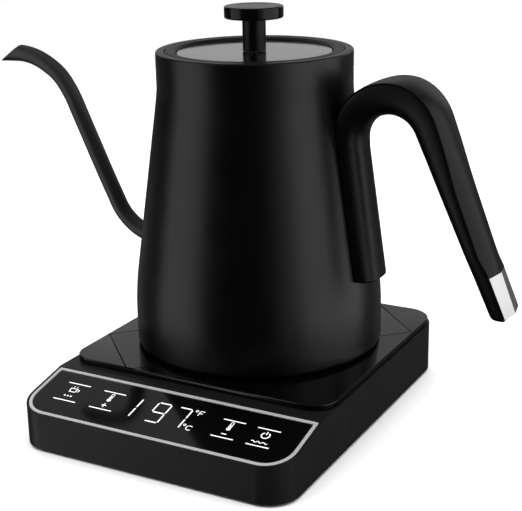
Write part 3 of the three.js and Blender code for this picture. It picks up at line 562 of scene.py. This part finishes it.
# -------------------- handle
def handle_rails(place):
    """The inner and outer side of the handle at a place along it, in the plane of the handle."""
    start = math.pi + math.atan(LEAN)
    strap_top = ARC_INNER[1] + ARC_INNER[2] * math.sin(start)
    if place < STRAP_END:
        z = STRAP_LOW + (strap_top - STRAP_LOW) * place / STRAP_END
        wall = wall_radius(z)
        return Vector((wall + STRAP_PROUD, z)), Vector((wall - STRAP_SINK, z + STRAP_SLANT))
    share = min((place - STRAP_END) / (ARC_END - STRAP_END), 1)
    down = max((place - ARC_END) / (TIP - ARC_END), 0)
    rails = []
    for (x, z, radius), tilt, length in RAILS:
        turn = start + (tilt - start) * share
        on_arc = Vector((x + radius * math.cos(turn), z + radius * math.sin(turn)))
        rails.append(on_arc + Vector((math.sin(tilt), -math.cos(tilt))) * length * down)
    return rails


def handle_section(place):
    """At a place: a function from (y, depth) to a point, the thickness, the crown and the half width."""
    inner, outer = handle_rails(place)
    out = (outer - inner).normalized()
    share = min(max((place - COVER_FROM) / (TIP - COVER_FROM), 0), 1)
    (s0, c0), (s1, c1) = next(pair for pair in zip(CROWN, CROWN[1:]) if share <= pair[1][0])
    ease = (share - s0) / (s1 - s0)
    crown = c0 + (c1 - c0) * ease * ease * (3 - 2 * ease)
    half_width = STRAP_HALF_WIDTH + (TIP_HALF_WIDTH - STRAP_HALF_WIDTH) * place / TIP

    def at(y, depth):
        point = inner + out * depth
        return (point.x, y, SEAT + point.y)
    return at, (outer - inner).length, crown, half_width


def fuller(value):
    """A sine or cosine pushed out towards a square corner."""
    return math.copysign(abs(value) ** (2 / SIDE_FULLNESS), value)


def core_ring(place, steps=44):
    """The inner half: round on the hand's side, flat under the skin, with a small chamfer between."""
    at, thickness, crown, half_width = handle_section(place)
    depth = thickness - crown - GAP / 2
    wide, chamfer = half_width - CORE_EDGE, CORE_EDGE / 4
    ring = [at(wide, depth), at(half_width - chamfer, depth - chamfer)]
    for turn in spaced(0, math.pi, steps):
        side, sink = fuller(math.cos(turn)), fuller(math.sin(turn))
        ring.append(at(half_width * side, (depth - CORE_EDGE) * (1 - sink)))
    return ring + [at(chamfer - half_width, depth - chamfer), at(-wide, depth)]


def skin_ring(place, steps=SKIN_STEPS, power=SKIN_ROUNDNESS):
    """The outer skin: a crowned top over a flat underside; power 1 gives two flat facets."""
    at, thickness, crown, half_width = handle_section(place)
    fall = crown - GAP / 2 - SKIN_EDGE
    under = thickness - crown + GAP / 2
    ring = []
    for k in range(steps + 1):
        share = 1 - 2 * k / steps
        ring.append(at(half_width * share, thickness - fall * abs(share) ** power))
    return ring + [at(SKIN_DRAFT - half_width, under), at(half_width - SKIN_DRAFT, under)]


def drawn_in(ring, push, keep):
    """A ring moved along the grip and shrunk towards its middle."""
    middle = sum((Vector(point) for point in ring), Vector()) / len(ring)
    along = Vector((math.sin(GRIP_OUTER_TILT), 0, -math.cos(GRIP_OUTER_TILT)))
    return [tuple(middle.lerp(Vector(point), keep) + along * push) for point in ring]


def build_handle_loop():
    places = spaced(0, STRAP_END, 30) + spaced(STRAP_END, ARC_END, 70)[1:] + spaced(ARC_END, TIP, 50)[1:]
    rings = [core_ring(place) for place in places]
    slanted_foot = [(x - 1.6, y * 0.99, z - 1.2) for x, y, z in rings[0]]
    dome = []
    for turn in spaced(0, math.pi / 2, TIP_STEPS)[1:]:
        dome.append(drawn_in(rings[-1], TIP_DOME * math.sin(turn), 1 - TIP_DRAW * (1 - math.cos(turn))))
    core = place_mesh("handle_loop", *lofted([slanted_foot, *rings, *dome]), satin, crease=40)
    combine(core, [envelope(GAP / 2)])
    stands_for(core, "kettle", "handle_plastic", "handle_core")


def build_handle_back():
    """The outer skin down to its seam, and the metal insert below it."""
    seam = TIP - (TIP - ARC_END) * INSERT_LENGTH / GRIP_LENGTH
    skin_places = spaced(COVER_FROM, ARC_END, 70) + spaced(ARC_END, seam - INSERT_SEAM, 40)[1:]
    skin = place_mesh("handle_back", *lofted([skin_ring(place) for place in skin_places]), satin, crease=40)
    combine(skin, [envelope(GAP / 2)])
    soften(skin, width=0.18, segments=2, angle=60)
    stands_for(skin, "kettle", "handle_plastic", "handle_cover")
    facets = [skin_ring(place, steps=2, power=1) for place in spaced(seam, TIP, 6)]
    insert = place_mesh("handle_tip", *lofted(facets), bright, crease=10)
    stands_for(soften(insert, width=0.3, angle=12), "kettle", "handle_metal", "handle_end_insert")


# -------------------- lid
def build_lid():
    under_cap, disc_low = RECESS_FLOOR - CAP_THICKNESS, RECESS_FLOOR + GAP
    cap = rounded([(LID_HOLE, under_cap), (LID_RADIUS, under_cap), (LID_RADIUS, 0, 0.5),
                   (RECESS_RADIUS + BEVEL_WIDTH, 0, 0.3), (RECESS_RADIUS, -BEVEL_DEPTH, 0.2),
                   (RECESS_RADIUS, RECESS_FLOOR), (LID_HOLE, RECESS_FLOOR)], 0.15)
    plate = rounded([(DISC_HOLE, disc_low), (DISC_RADIUS, disc_low), (DISC_RADIUS, DISC_TOP),
                     (DISC_HOLE, DISC_TOP)], 0.2)
    top, cup_inner = under_cap - GAP, CUP_RADIUS - CUP_WALL
    cup = rounded([(LID_HOLE, top - CUP_WALL), (cup_inner, top - CUP_WALL, 1.5), (cup_inner, CUP_LOW),
                   (CUP_RADIUS, CUP_LOW), (CUP_RADIUS, top, 2.4), (LID_HOLE, top)], 0.3)
    seal_inner = CUP_RADIUS + GAP
    seal = rounded([(seal_inner, SEAL_LOW), (SEAL_ROOT, SEAL_LOW), (LID_RADIUS, RIB_LOW),
                    (SEAL_ROOT, (RIB_LOW + RIB_HIGH) / 2), (LID_RADIUS, RIB_HIGH), (SEAL_ROOT, SEAL_HIGH),
                    (seal_inner, SEAL_HIGH)], 0.3)
    stem_low, stem_high = DISC_TOP + GAP, KNOB_LOW - GAP
    stem = rounded([(STEM_HOLE, stem_low), (STEM_RADIUS, stem_low), (STEM_RADIUS, stem_high),
                    (STEM_HOLE, stem_high)], 0.15)
    knob = rounded([(0, KNOB_HIGH), (KNOB_RADIUS, KNOB_HIGH, KNOB_ROUND), (KNOB_RADIUS, KNOB_LOW, KNOB_ROUND),
                    (STEM_HOLE, KNOB_LOW), (STEM_HOLE, STEM_HOLE_TOP), (0, STEM_HOLE_TOP)], 0.1)
    build_turned([
        ("lid_rim", cap, satin, "lid_plastic", "lid_cap"),
        ("lid_plate", plate, lid_grey, "lid_metal", "lid_disc"),
        ("lid_bowl", cup, brushed, "inner_steel", "lid_cup"),
        ("lid_seal", seal, silicone, "pale_silicone", "lid_gasket"),
        ("knob_post", stem, satin, "lid_plastic", "knob_stem"),
        ("knob_cap", knob, knob_black, "lid_plastic", "knob_disc"),
    ], "lid", RIM)


# -------------------- base
def panel_outline(inset):
    edge = PANEL_BORDER + inset
    return outline(HALF_WIDTH - edge, FRONT + edge, SLOPE_REAR - edge, CORNER - edge, PANEL_REAR_CORNER)


def build_housing():
    block = prism(outline(HALF_WIDTH, FRONT, REAR, CORNER), FOOT_PROUD, ABOVE_BASE)
    case = place_mesh("base_case", *block, moulded)
    beyond, overlap = 30, 0.01
    front, rear = FRONT - beyond, REAR + beyond
    side_view = [(front, -OVERRUN), (rear, -OVERRUN), (rear, SLAB_TOP), (SLOPE_REAR, SLAB_TOP),
                 (front, on_slope(0)(front))]
    combine(case, [across(side_view, HALF_WIDTH + beyond)], "INTERSECT")
    cavity = outline(HALF_WIDTH - WALL, FRONT + WALL, REAR - WALL, CORNER - WALL)
    depth, split = WALL + PANEL_POCKET, SLOPE_REAR - 2
    ceiling = SLAB_TOP - depth - 0.2
    lower = prism([(x, min(y, split)) for x, y in cavity], -OVERRUN, on_slope(depth))
    upper = prism([(x, max(y, split - overlap)) for x, y in cavity], -OVERRUN, ceiling)
    pocket = prism(panel_outline(0), on_slope(PANEL_POCKET), ABOVE_BASE)
    window = outline(WINDOW_HALF_WIDTH, WINDOW_FRONT, WINDOW_REAR, WINDOW_CORNER)
    gland = [[(GLAND_HOLE * math.cos(turn), y, GLAND_HEIGHT + GLAND_HOLE * math.sin(turn))
              for turn in full_turn(32)] for y in (REAR - OVERRUN, REAR + OVERRUN)]
    combine(case, [lower, upper, pocket, prism(window, WINDOW_LOW, ABOVE_BASE),
                   cylinder(BOSS_RADIUS + GAP, 0, ABOVE_BASE), lofted(gland)])
    stands_for(soften(case, width=0.5), "base", "base_plastic", "base_housing")


def build_deck():
    plan = outline(HALF_WIDTH - DECK_INSET, DECK_FRONT, REAR - DECK_INSET, DECK_CORNER, CORNER - DECK_INSET)
    deck = place_mesh("base_deck", *prism(plan, SLAB_TOP + GAP, DECK_TOP), deck_skin)
    combine(deck, [cylinder(BOSS_RADIUS + GAP, 0, ABOVE_BASE)])
    soften(deck, width=0.5, segments=4)
    apply_modifiers(deck)
    grooves = []
    for side in range(4):
        out, reach = (GROOVE_END, GROOVE_BAND) if side % 2 else (GROOVE_BAND, GROOVE_END)
        turn = Matrix.Rotation(math.pi / 4 + side * math.pi / 2, 2)
        low, high = out - GROOVE_WIDTH / 2, out + GROOVE_WIDTH / 2
        corners = ((-reach, low), (reach, low), (reach, high), (-reach, high))
        plan = [turn @ Vector(corner) for corner in corners]
        grooves.append(prism(plan, DECK_TOP - GROOVE_DEPTH, ABOVE_BASE))
    combine(deck, grooves)
    deck.modifiers.new("even_shading", "WEIGHTED_NORMAL").keep_sharp = True
    stands_for(deck, "base", "deck_plastic", "deck_plate")


def build_panel():
    floor = on_slope(PANEL_POCKET - GAP)
    border = place_mesh("panel_frame", *prism(panel_outline(GAP), floor, on_slope(0)), trim)
    combine(border, [prism(panel_outline(TRIM_WIDTH), on_slope(8), on_slope(-OVERRUN))])
    stands_for(soften(border, width=0.25), "base", "panel_trim", "glass_trim")
    pane_plan = panel_outline(TRIM_WIDTH + GAP)
    glass = place_mesh("panel_pane", *prism(pane_plan, floor, on_slope(PANE_SINK)), pane)
    stands_for(soften(glass, width=0.2), "base", "panel_glass", "control_glass")


# -------------------- marks on the panel
# Depths below the slope, where the marks stand a little proud of the glass
MARK_LOW, MARK_TOP = 0.09, 0.05
# The figures' rear and front ends and their width, and where each one starts
DIGIT_REAR, DIGIT_FRONT, DIGIT_WIDTH, DIGIT_STROKE = -89.6, -104, 7.2, 0.75
DIGITS = (("1", -16 - DIGIT_WIDTH), ("9", -6.8), ("7", 4.9))
SEGMENTS = {"1": "bc", "7": "abc", "9": "abcdfg"}
# Each touch key lies between two bars: left end, right end, rear bar and front bar
KEYS = ((-61.2, -48, -89.3, -102.9), (-39.3, -26.4, -89.8, -103.2), (29.8, 41.6, -91, -103.6),
        (48.4, 60.2, -91.5, -103.8))
BAR_STROKE, SIGN_STROKE, SIGN_REACH = 0.62, 0.55, 1.4
CUP_AT, WARMER_AT, COOLER_AT, POWER_AT = (-55, -94.4), (-32.6, -94), (35.6, -95.2), (54.6, -95.9)
DOTS_AT, PLUS_AT, MINUS_AT, WAVES_AT = (-55, -99.2), (-32.6, -100.1), (35.3, -101), (54, -101.2)


def ribbon(points, width, closed=False):
    """A flat stroke of even width along a line on the panel, a little proud of the glass."""
    line = [Vector(point) for point in points]
    left, right = [], []
    for i, point in enumerate(line):
        directions = []
        if closed or i > 0:
            directions.append((point - line[i - 1]).normalized())
        if closed or i + 1 < len(line):
            directions.append((line[(i + 1) % len(line)] - point).normalized())
        normals = [Vector((-d.y, d.x)) for d in directions]
        joint = sum(normals, Vector((0, 0))).normalized()
        reach = width / 2 / max(joint.dot(normals[0]), 0.5)
        left.append(point + joint * reach)
        right.append(point - joint * reach)
    sections = []
    for a, b in zip(left, right):
        corners = ((a, MARK_LOW), (a, MARK_TOP), (b, MARK_TOP), (b, MARK_LOW))
        sections.append([(point.x, point.y, on_slope(depth)(point.y)) for point, depth in corners])
    return lofted(sections, closed)


def spot(x, y, radius, sides=20):
    plan = [(x + radius * math.cos(turn), y + radius * math.sin(turn)) for turn in full_turn(sides)]
    return prism(plan, on_slope(MARK_LOW), on_slope(MARK_TOP))


def arc(x, y, radius, start, end, steps=24):
    return [(x + radius * math.cos(math.radians(a)), y + radius * math.sin(math.radians(a)))
            for a in spaced(start, end, steps)]


def marks(name, shapes):
    points, faces = [], []
    for more_points, more_faces in shapes:
        faces += [tuple(i + len(points) for i in face) for face in more_faces]
        points += more_points
    stands_for(place_mesh(name, points, faces, lit), "base", "panel_marks")


def digit(value, left):
    """A seven-segment figure; a is the rear bar, then clockwise, and g is the middle bar."""
    right, middle, gap = left + DIGIT_WIDTH, (DIGIT_REAR + DIGIT_FRONT) / 2, 0.5
    bars = {
        "a": ((left + gap, DIGIT_REAR), (right - gap, DIGIT_REAR)),
        "b": ((right, DIGIT_REAR - gap), (right, middle + gap)),
        "c": ((right, middle - gap), (right, DIGIT_FRONT + gap)),
        "d": ((right - gap, DIGIT_FRONT), (left + gap, DIGIT_FRONT)),
        "e": ((left, DIGIT_FRONT + gap), (left, middle - gap)),
        "f": ((left, middle + gap), (left, DIGIT_REAR - gap)),
        "g": ((left + gap, middle), (right - gap, middle)),
    }
    return [ribbon(bars[segment], DIGIT_STROKE) for segment in SEGMENTS[value]]


def degree(x, y):
    return ribbon(arc(x, y, 0.6, 0, 345, 14), 0.35, closed=True)


def thermometer(x, y):
    tube = [(x - 0.7, y - 0.8), *arc(x, y + 2.4, 0.7, 180, 0, 8), (x + 0.7, y - 0.8)]
    return [ribbon(tube, 0.35), ribbon([(x, y - 1.2), (x, y + 1.4)], 0.45), spot(x, y - 1.9, 1.1)]


def cup(x, y):
    """A cup with a handle and two lines of steam."""
    bowl = [(x - 2, y + 1.2), (x - 1.6, y - 1.4), (x + 1.6, y - 1.4), (x + 2, y + 1.2)]
    steam = [ribbon([(x + side, y + 2), (x + side, y + 3.1)], 0.35) for side in (-0.9, 0.9)]
    return [ribbon(bowl, 0.5, closed=True), ribbon(arc(x + 2.4, y, 0.9, -80, 80, 10), 0.4), *steam]


def sign(x, y, upright=False):
    """One stroke of a plus or minus sign."""
    dx, dy = (0, SIGN_REACH) if upright else (SIGN_REACH, 0)
    return ribbon([(x - dx, y - dy), (x + dx, y + dy)], SIGN_STROKE)


def power_switch(x, y):
    return [ribbon(arc(x, y, 2, 125, 415), 0.6), ribbon([(x, y + 0.5), (x, y + 2.7)], 0.6)]


def waves(x, y, count=13, step=0.7, height=0.5):
    first = x - step * (count // 2)
    return ribbon([(first + step * i, y + height * math.sin(i * math.pi / 2)) for i in range(count)], 0.4)


def build_marks():
    marks("panel_digits", [bar for value, left in DIGITS for bar in digit(value, left)])
    letter_f = [ribbon([(16.4, -92.8), (16.4, -89.4), (18.7, -89.4)], 0.42),
                ribbon([(16.4, -91.1), (18.2, -91.1)], 0.4)]
    letter_c = ribbon(arc(17.4, -102.4, 1.6, 45, 315, 16), 0.42)
    marks("panel_units", [degree(14.6, -89.8), *letter_f, degree(14.2, -100.9), letter_c])
    marks("key_bars", [ribbon([(left, y), (right, y)], BAR_STROKE)
                       for left, right, *bars in KEYS for y in bars])
    dots = [spot(DOTS_AT[0] + x, DOTS_AT[1], 0.5) for x in (-1.8, 0, 1.8)]
    marks("key_symbols", [
        *cup(*CUP_AT), *dots, *thermometer(*WARMER_AT), sign(*PLUS_AT), sign(*PLUS_AT, upright=True),
        *thermometer(*COOLER_AT), sign(*MINUS_AT), *power_switch(*POWER_AT), waves(*WAVES_AT)])


# -------------------- underside, feet and connector
def build_underside():
    inset = WALL + GAP
    plan = outline(HALF_WIDTH - inset, FRONT + inset, REAR - inset, CORNER - inset)
    cover = place_mesh("base_underside", *prism(plan, FOOT_PROUD, FOOT_PROUD + COVER_THICKNESS), moulded)
    tools = []
    for i in range(1, 5):
        foot, _, _ = middle_of(f"foot_{i}")
        tools.append(cylinder(FOOT_RADIUS + GAP, 0, FOOT_ROOF, 48, foot))
        tools.append(screw_hole(f"base_screw_{i}", BASE_HEAD_HOLE, 0, 10))
    combine(cover, tools)
    stands_for(soften(cover, width=0.3, segments=2), "base", "base_plastic", "base_bottom_cover")
    for i in range(1, 5):
        foot, _, top = middle_of(f"foot_{i}")
        profile = rounded([(0, 0, 0), (FOOT_RADIUS, 0, 0.7), (FOOT_RADIUS, top, 0.2), (0, top, 0)], 0)
        pad = place_mesh(f"foot_pad_{i}", *turned(profile, 0, 64, foot), rubber)
        stands_for(pad, "base", "black_rubber", f"foot_{i}")


def ring_profile(inner, outer, low, high, radius, top_radius=None):
    """A plain ring's profile; its upper edges may have a radius of their own."""
    top_radius = radius if top_radius is None else top_radius
    return rounded([(inner, low), (outer, low), (outer, high, top_radius), (inner, high, top_radius)], radius)


def build_connector():
    boss = rounded([(PIN_HOLE, BOSS_LOW), (BOSS_RADIUS, BOSS_LOW), (BOSS_RADIUS, BOSS_TOP, 1.6),
                    (SLOT_OUTER, BOSS_TOP, 0.8), (SLOT_OUTER, SLOT_FLOOR), (SLOT_INNER, SLOT_FLOOR),
                    (SLOT_INNER, BOSS_TOP, 1.2), (PIN_HOLE, BOSS_TOP, 0.6)], 0.3)
    pin_top = BOSS_TOP - PIN_SINK
    pin = rounded([(0, PIN_LOW), (PIN_RADIUS, PIN_LOW), (PIN_RADIUS, pin_top, 1.2), (0, pin_top)], 0.2)
    inner, outer = SLOT_INNER + GAP, SLOT_OUTER - GAP
    contacts = [ring_profile(low, low + CONTACT_THICKNESS, SLOT_FLOOR + GAP, CONTACT_TOP, 0.25)
                for low in (inner, outer - CONTACT_THICKNESS)]
    build_turned([
        ("connector_post", boss, moulded, "base_plastic", "connector_boss"),
        ("connector_pin", pin, brass, "contact_brass", "contact_pin"),
        ("connector_ring_inner", contacts[0], brass, "contact_brass", "contact_ring_inner"),
        ("connector_ring_outer", contacts[1], brass, "contact_brass", "contact_ring_outer"),
    ], "base")
    shutter = ring_profile(SHUTTER_INNER, SHUTTER_OUTER, SHUTTER_LOW, SHUTTER_TOP, 0.2, 0.6)
    build_turned([("shutter_ring", shutter, nylon, "pale_nylon", "connector_shutter")], "swivel")


def build_gland():
    """The rear cord entry: a rubber collar with a flange inside the wall and a lip outside it."""
    bore, lip_end = 3.4, 1.4
    profile = rounded([(bore, -4.9), (7.6, -4.9), (7.6, -2.7), (5.7, -2.7), (5.7, 0.3), (7.2, 0.3, 0.4),
                       (6.7, lip_end, 0.6), (bore, lip_end, 0.5)], 0.2)
    points, faces = turned(profile, segments=72)
    points = [(x, REAR + z, GLAND_HEIGHT + y) for x, y, z in points]
    gland = place_mesh("cord_collar", points, outward(points, faces), rubber)
    stands_for(gland, "base", "black_rubber", "cord_gland")


def build_kettle_underside():
    plate_hole, plate_top = SENSOR_RADIUS + GAP, FLOOR_HEIGHT + FLOOR_THICKNESS
    plate = rounded([(plate_hole, FLOOR_HEIGHT), (PLATE_RADIUS, FLOOR_HEIGHT), (PLATE_RADIUS, plate_top),
                     (plate_hole, plate_top, 0.6)], 0.3)
    sensor_low, sensor_top = FLOOR_HEIGHT - 5, FLOOR_HEIGHT + 4
    sensor = rounded([(0, sensor_low), (SENSOR_RADIUS, sensor_low), (SENSOR_RADIUS, sensor_top, 1.4),
                      (0, sensor_top)], 0.3)
    seal = ring_profile(PLATE_RADIUS - 3, PLATE_RADIUS, FLOOR_HEIGHT - 3, FLOOR_HEIGHT - GAP, 0.5)
    roof, tube_low = 11.2, 5
    socket = rounded([(0, roof), (10.8, roof), (10.8, tube_low, 0.5), (13.2, tube_low, 0.5), (13.2, roof),
                      (19.6, roof), (19.6, SOCKET_LOW, 1), (SOCKET_RADIUS, SOCKET_LOW, 1),
                      (SOCKET_RADIUS, SOCKET_TOP), (0, SOCKET_TOP)], 0.4)
    inner, outer, low, high = 24.2, SKIRT_INNER - GAP, 0.8, 3.2
    cover = rounded([(inner, low), (outer, low, 0.6), (outer, high), (inner, high)], 0.3)
    pieces = build_turned([
        ("kettle_floor", plate, brushed, "inner_steel", "heating_plate"),
        ("sensor_tip", sensor, plated, "inner_steel", "temperature_sensor"),
        ("floor_seal", seal, silicone, "pale_silicone", "base_seal"),
        ("power_socket", socket, nylon, "pale_nylon", "kettle_socket"),
        ("kettle_underside", cover, satin, "handle_plastic", "kettle_base_cover"),
    ], "kettle", SEAT)
    holes = [screw_hole(f"cover_screw_{i}", COVER_HEAD_HOLE, -1, 6, SEAT) for i in range(1, 4)]
    combine(pieces["kettle_underside"], holes)


def build_screws():
    """Pan heads with a cross recess, head down, standing for the plain CAD screws."""
    screws = [(f"base_screw_{i}", BASE_SCREW_HEAD, "base") for i in range(1, 5)]
    screws += [(f"cover_screw_{i}", COVER_SCREW_HEAD, "kettle") for i in range(1, 4)]
    for node, head, body in screws:
        (x, y), low, top = middle_of(node)
        profile = rounded([(0, low), (head, low, 0.5), (head, low + 1), (SCREW_SHANK, low + 1),
                           (SCREW_SHANK, top, 0.4), (0, top)], 0.1)
        bolt = place_mesh(node.replace("screw", "bolt"), *turned(profile, 0, 36, (x, y)), plated)
        for a, b in ((CROSS_LENGTH / 2, CROSS_WIDTH / 2), (CROSS_WIDTH / 2, CROSS_LENGTH / 2)):
            plan = [(x - a, y - b), (x + a, y - b), (x + a, y + b), (x - a, y + b)]
            combine(bolt, [prism(plan, low - 1, low + CROSS_DEPTH)])
        stands_for(bolt, body, "fastener_steel", node)


INNER_MATERIALS = {
    board: ("display_board", "power_board"),
    moulded: ("power_relay",),
    plated: ("handle_bracket_upper", "handle_bracket_lower", "handle_screw", "knob_washer", "knob_screw",
             "heating_element"),
    nylon: ("thermal_cutout",),
}


def finish_inner_nodes():
    """The pieces hidden inside keep their CAD shape, with small round edges and their own surface."""
    for material, names in INNER_MATERIALS.items():
        for name in names:
            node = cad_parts[name]
            node.data.materials.clear()
            node.data.materials.append(material)
            round_edges(node, width=0.1, segments=1, angle=50)


# -------------------- floor, light and camera, in metres
FLOOR_RADIUS, FLOOR_SIDES, FLOOR_WHITE, FLOOR_ROUGHNESS = 0.8, 96, 0.9, 0.9
LIGHTS_AIM = AXIS + Vector((0, 0, 0.12))
SOFTBOXES = {  # turn, distance and height of the middle; width, height and radiance
    "left_strip": (-77, 1.1, 0.12, 0.9, 1.9, 0.9),
    "right_strip": (72, 1.1, 0.28, 1.63, 1.5, 1.1),
    "right_inner": (27, 1.1, 0.25, 0.32, 1.4, 0.3),
    "right_rear": (135, 1.3, 0.55, 0.6, 0.9, 0.3),
    "back_panel": (180, 1.6, 0.68, 3, 0.8, 0.45),
    "back_left_card": (-150, 1.0, 1.05, 0.62, 0.5, 0.35),
}
OVERHEAD_HEIGHT, OVERHEAD_SIZE, OVERHEAD_RADIANCE = 1.6, 3.2, 2.6
DARK, BACK_GLOW, TOP_GLOW = 0.008, 0.12, 0.3
CAMERA_TURN, CAMERA_DOWN, CAMERA_ROLL = (math.radians(a) for a in (28.55, 18.02, 1.02))
CAMERA_PLACE = AXIS + Vector((0.2953, -0.5397, 0.2756))
CAMERA_LENS, CAMERA_SENSOR = 84, 36


def towards(turn, distance, height):
    """A place at a turn from the camera's side of the kettle, anticlockwise seen from above, in degrees."""
    angle = CAMERA_TURN + math.radians(turn) - math.pi / 2
    return AXIS + Vector((math.cos(angle) * distance, math.sin(angle) * distance, height))


def softbox(name, place, target, width, height, radiance, glossy=True):
    """A rectangular light of even radiance, out of the camera's sight."""
    light = bpy.data.lights.new(name, "AREA")
    light.shape = "RECTANGLE"
    light.size, light.size_y = width, height
    light.energy = radiance * math.pi * width * height
    obj = bpy.data.objects.new(name, light)
    obj.location = place
    obj.rotation_euler = (target - place).to_track_quat("-Z", "Y").to_euler()
    obj.visible_camera = False
    obj.visible_glossy = glossy
    bpy.context.scene.collection.objects.link(obj)


def build_floor():
    """A plain white disc that no glossy surface mirrors."""
    material = bpy.data.materials.new("floor_white")
    material.use_nodes = True
    shader = material.node_tree.nodes["Principled BSDF"]
    shader.inputs["Base Color"].default_value = (FLOOR_WHITE, FLOOR_WHITE, FLOOR_WHITE, 1)
    shader.inputs["Roughness"].default_value = FLOOR_ROUGHNESS
    centre = towards(180, 0.3, 0)
    edge = [Vector((math.cos(turn), math.sin(turn), 0)) * FLOOR_RADIUS for turn in full_turn(FLOOR_SIDES)]
    mesh = bpy.data.meshes.new("floor")
    mesh.from_pydata([centre + point for point in edge], [], [tuple(range(FLOOR_SIDES))])
    mesh.materials.append(material)
    floor = bpy.data.objects.new("floor", mesh)
    bpy.context.scene.collection.objects.link(floor)
    floor.visible_glossy = False


def build_lights():
    for name, (turn, distance, height, *size_and_radiance) in SOFTBOXES.items():
        softbox(name, towards(turn, distance, height), LIGHTS_AIM, *size_and_radiance)
    overhead = AXIS + Vector((0, 0, OVERHEAD_HEIGHT))
    softbox("overhead", overhead, AXIS, OVERHEAD_SIZE, OVERHEAD_SIZE, OVERHEAD_RADIANCE, glossy=False)


def build_world():
    """White to the eye; in reflections dark, but paler overhead and low down behind the kettle."""
    world = bpy.data.worlds.new("studio")
    bpy.context.scene.world = world
    world.use_nodes = True
    nodes, links = world.node_tree.nodes, world.node_tree.links
    direction = nodes.new("ShaderNodeTexCoord").outputs["Generated"]

    def facing(axis, start, end):
        """0 to 1 as a direction swings from one cosine against an axis to another."""
        dot = nodes.new("ShaderNodeVectorMath")
        dot.operation = "DOT_PRODUCT"
        dot.inputs[1].default_value = axis
        links.new(direction, dot.inputs[0])
        ramp = nodes.new("ShaderNodeMapRange")
        ramp.interpolation_type = "SMOOTHSTEP"
        ramp.inputs["From Min"].default_value, ramp.inputs["From Max"].default_value = start, end
        links.new(dot.outputs["Value"], ramp.inputs["Value"])
        return ramp.outputs["Result"]

    def maths(kind, a, b):
        node = nodes.new("ShaderNodeMath")
        node.operation = kind
        for value, socket in zip((a, b), node.inputs):
            if isinstance(value, float):
                socket.default_value = value
            else:
                links.new(value, socket)
        return node.outputs[0]

    away = towards(180, 1, 0) - AXIS
    behind = maths("MULTIPLY", facing(away, 0.35, 0.8), facing((0, 0, -1), 0.03, 0.2))
    above = maths("MULTIPLY", facing((0, 0, 1), 0.72, 0.95), TOP_GLOW)
    glow = maths("ADD", maths("MULTIPLY", behind, BACK_GLOW), above)
    dim = nodes.new("ShaderNodeBackground")
    dim.inputs["Color"].default_value = (1, 1, 1, 1)
    links.new(maths("ADD", glow, DARK), dim.inputs["Strength"])
    white = nodes["Background"]
    white.inputs["Color"].default_value = (1, 1, 1, 1)
    white.inputs["Strength"].default_value = 1
    mix = nodes.new("ShaderNodeMixShader")
    links.new(nodes.new("ShaderNodeLightPath").outputs["Is Camera Ray"], mix.inputs["Fac"])
    links.new(dim.outputs[0], mix.inputs[1])
    links.new(white.outputs[0], mix.inputs[2])
    links.new(mix.outputs[0], nodes["World Output"].inputs["Surface"])


def build_camera():
    camera = bpy.data.cameras.new("camera")
    camera.lens, camera.sensor_width, camera.sensor_fit = CAMERA_LENS, CAMERA_SENSOR, "HORIZONTAL"
    camera.clip_start, camera.clip_end = 0.01, 50
    obj = bpy.data.objects.new("camera", camera)
    aim = (Matrix.Rotation(CAMERA_TURN, 4, "Z") @ Matrix.Rotation(math.pi / 2 - CAMERA_DOWN, 4, "X")
           @ Matrix.Rotation(-CAMERA_ROLL, 4, "Z"))
    obj.matrix_world = Matrix.Translation(CAMERA_PLACE) @ aim
    bpy.context.scene.collection.objects.link(obj)
    bpy.context.scene.camera = obj


build_camera()
build_floor()
build_world()
build_lights()
build_body()
build_spout()
build_handle_loop()
build_handle_back()
build_lid()
build_housing()
build_deck()
build_panel()
build_marks()
build_underside()
build_connector()
build_gland()
build_kettle_underside()
build_screws()
finish_inner_nodes()

bpy.context.scene.view_settings.view_transform = "Standard"
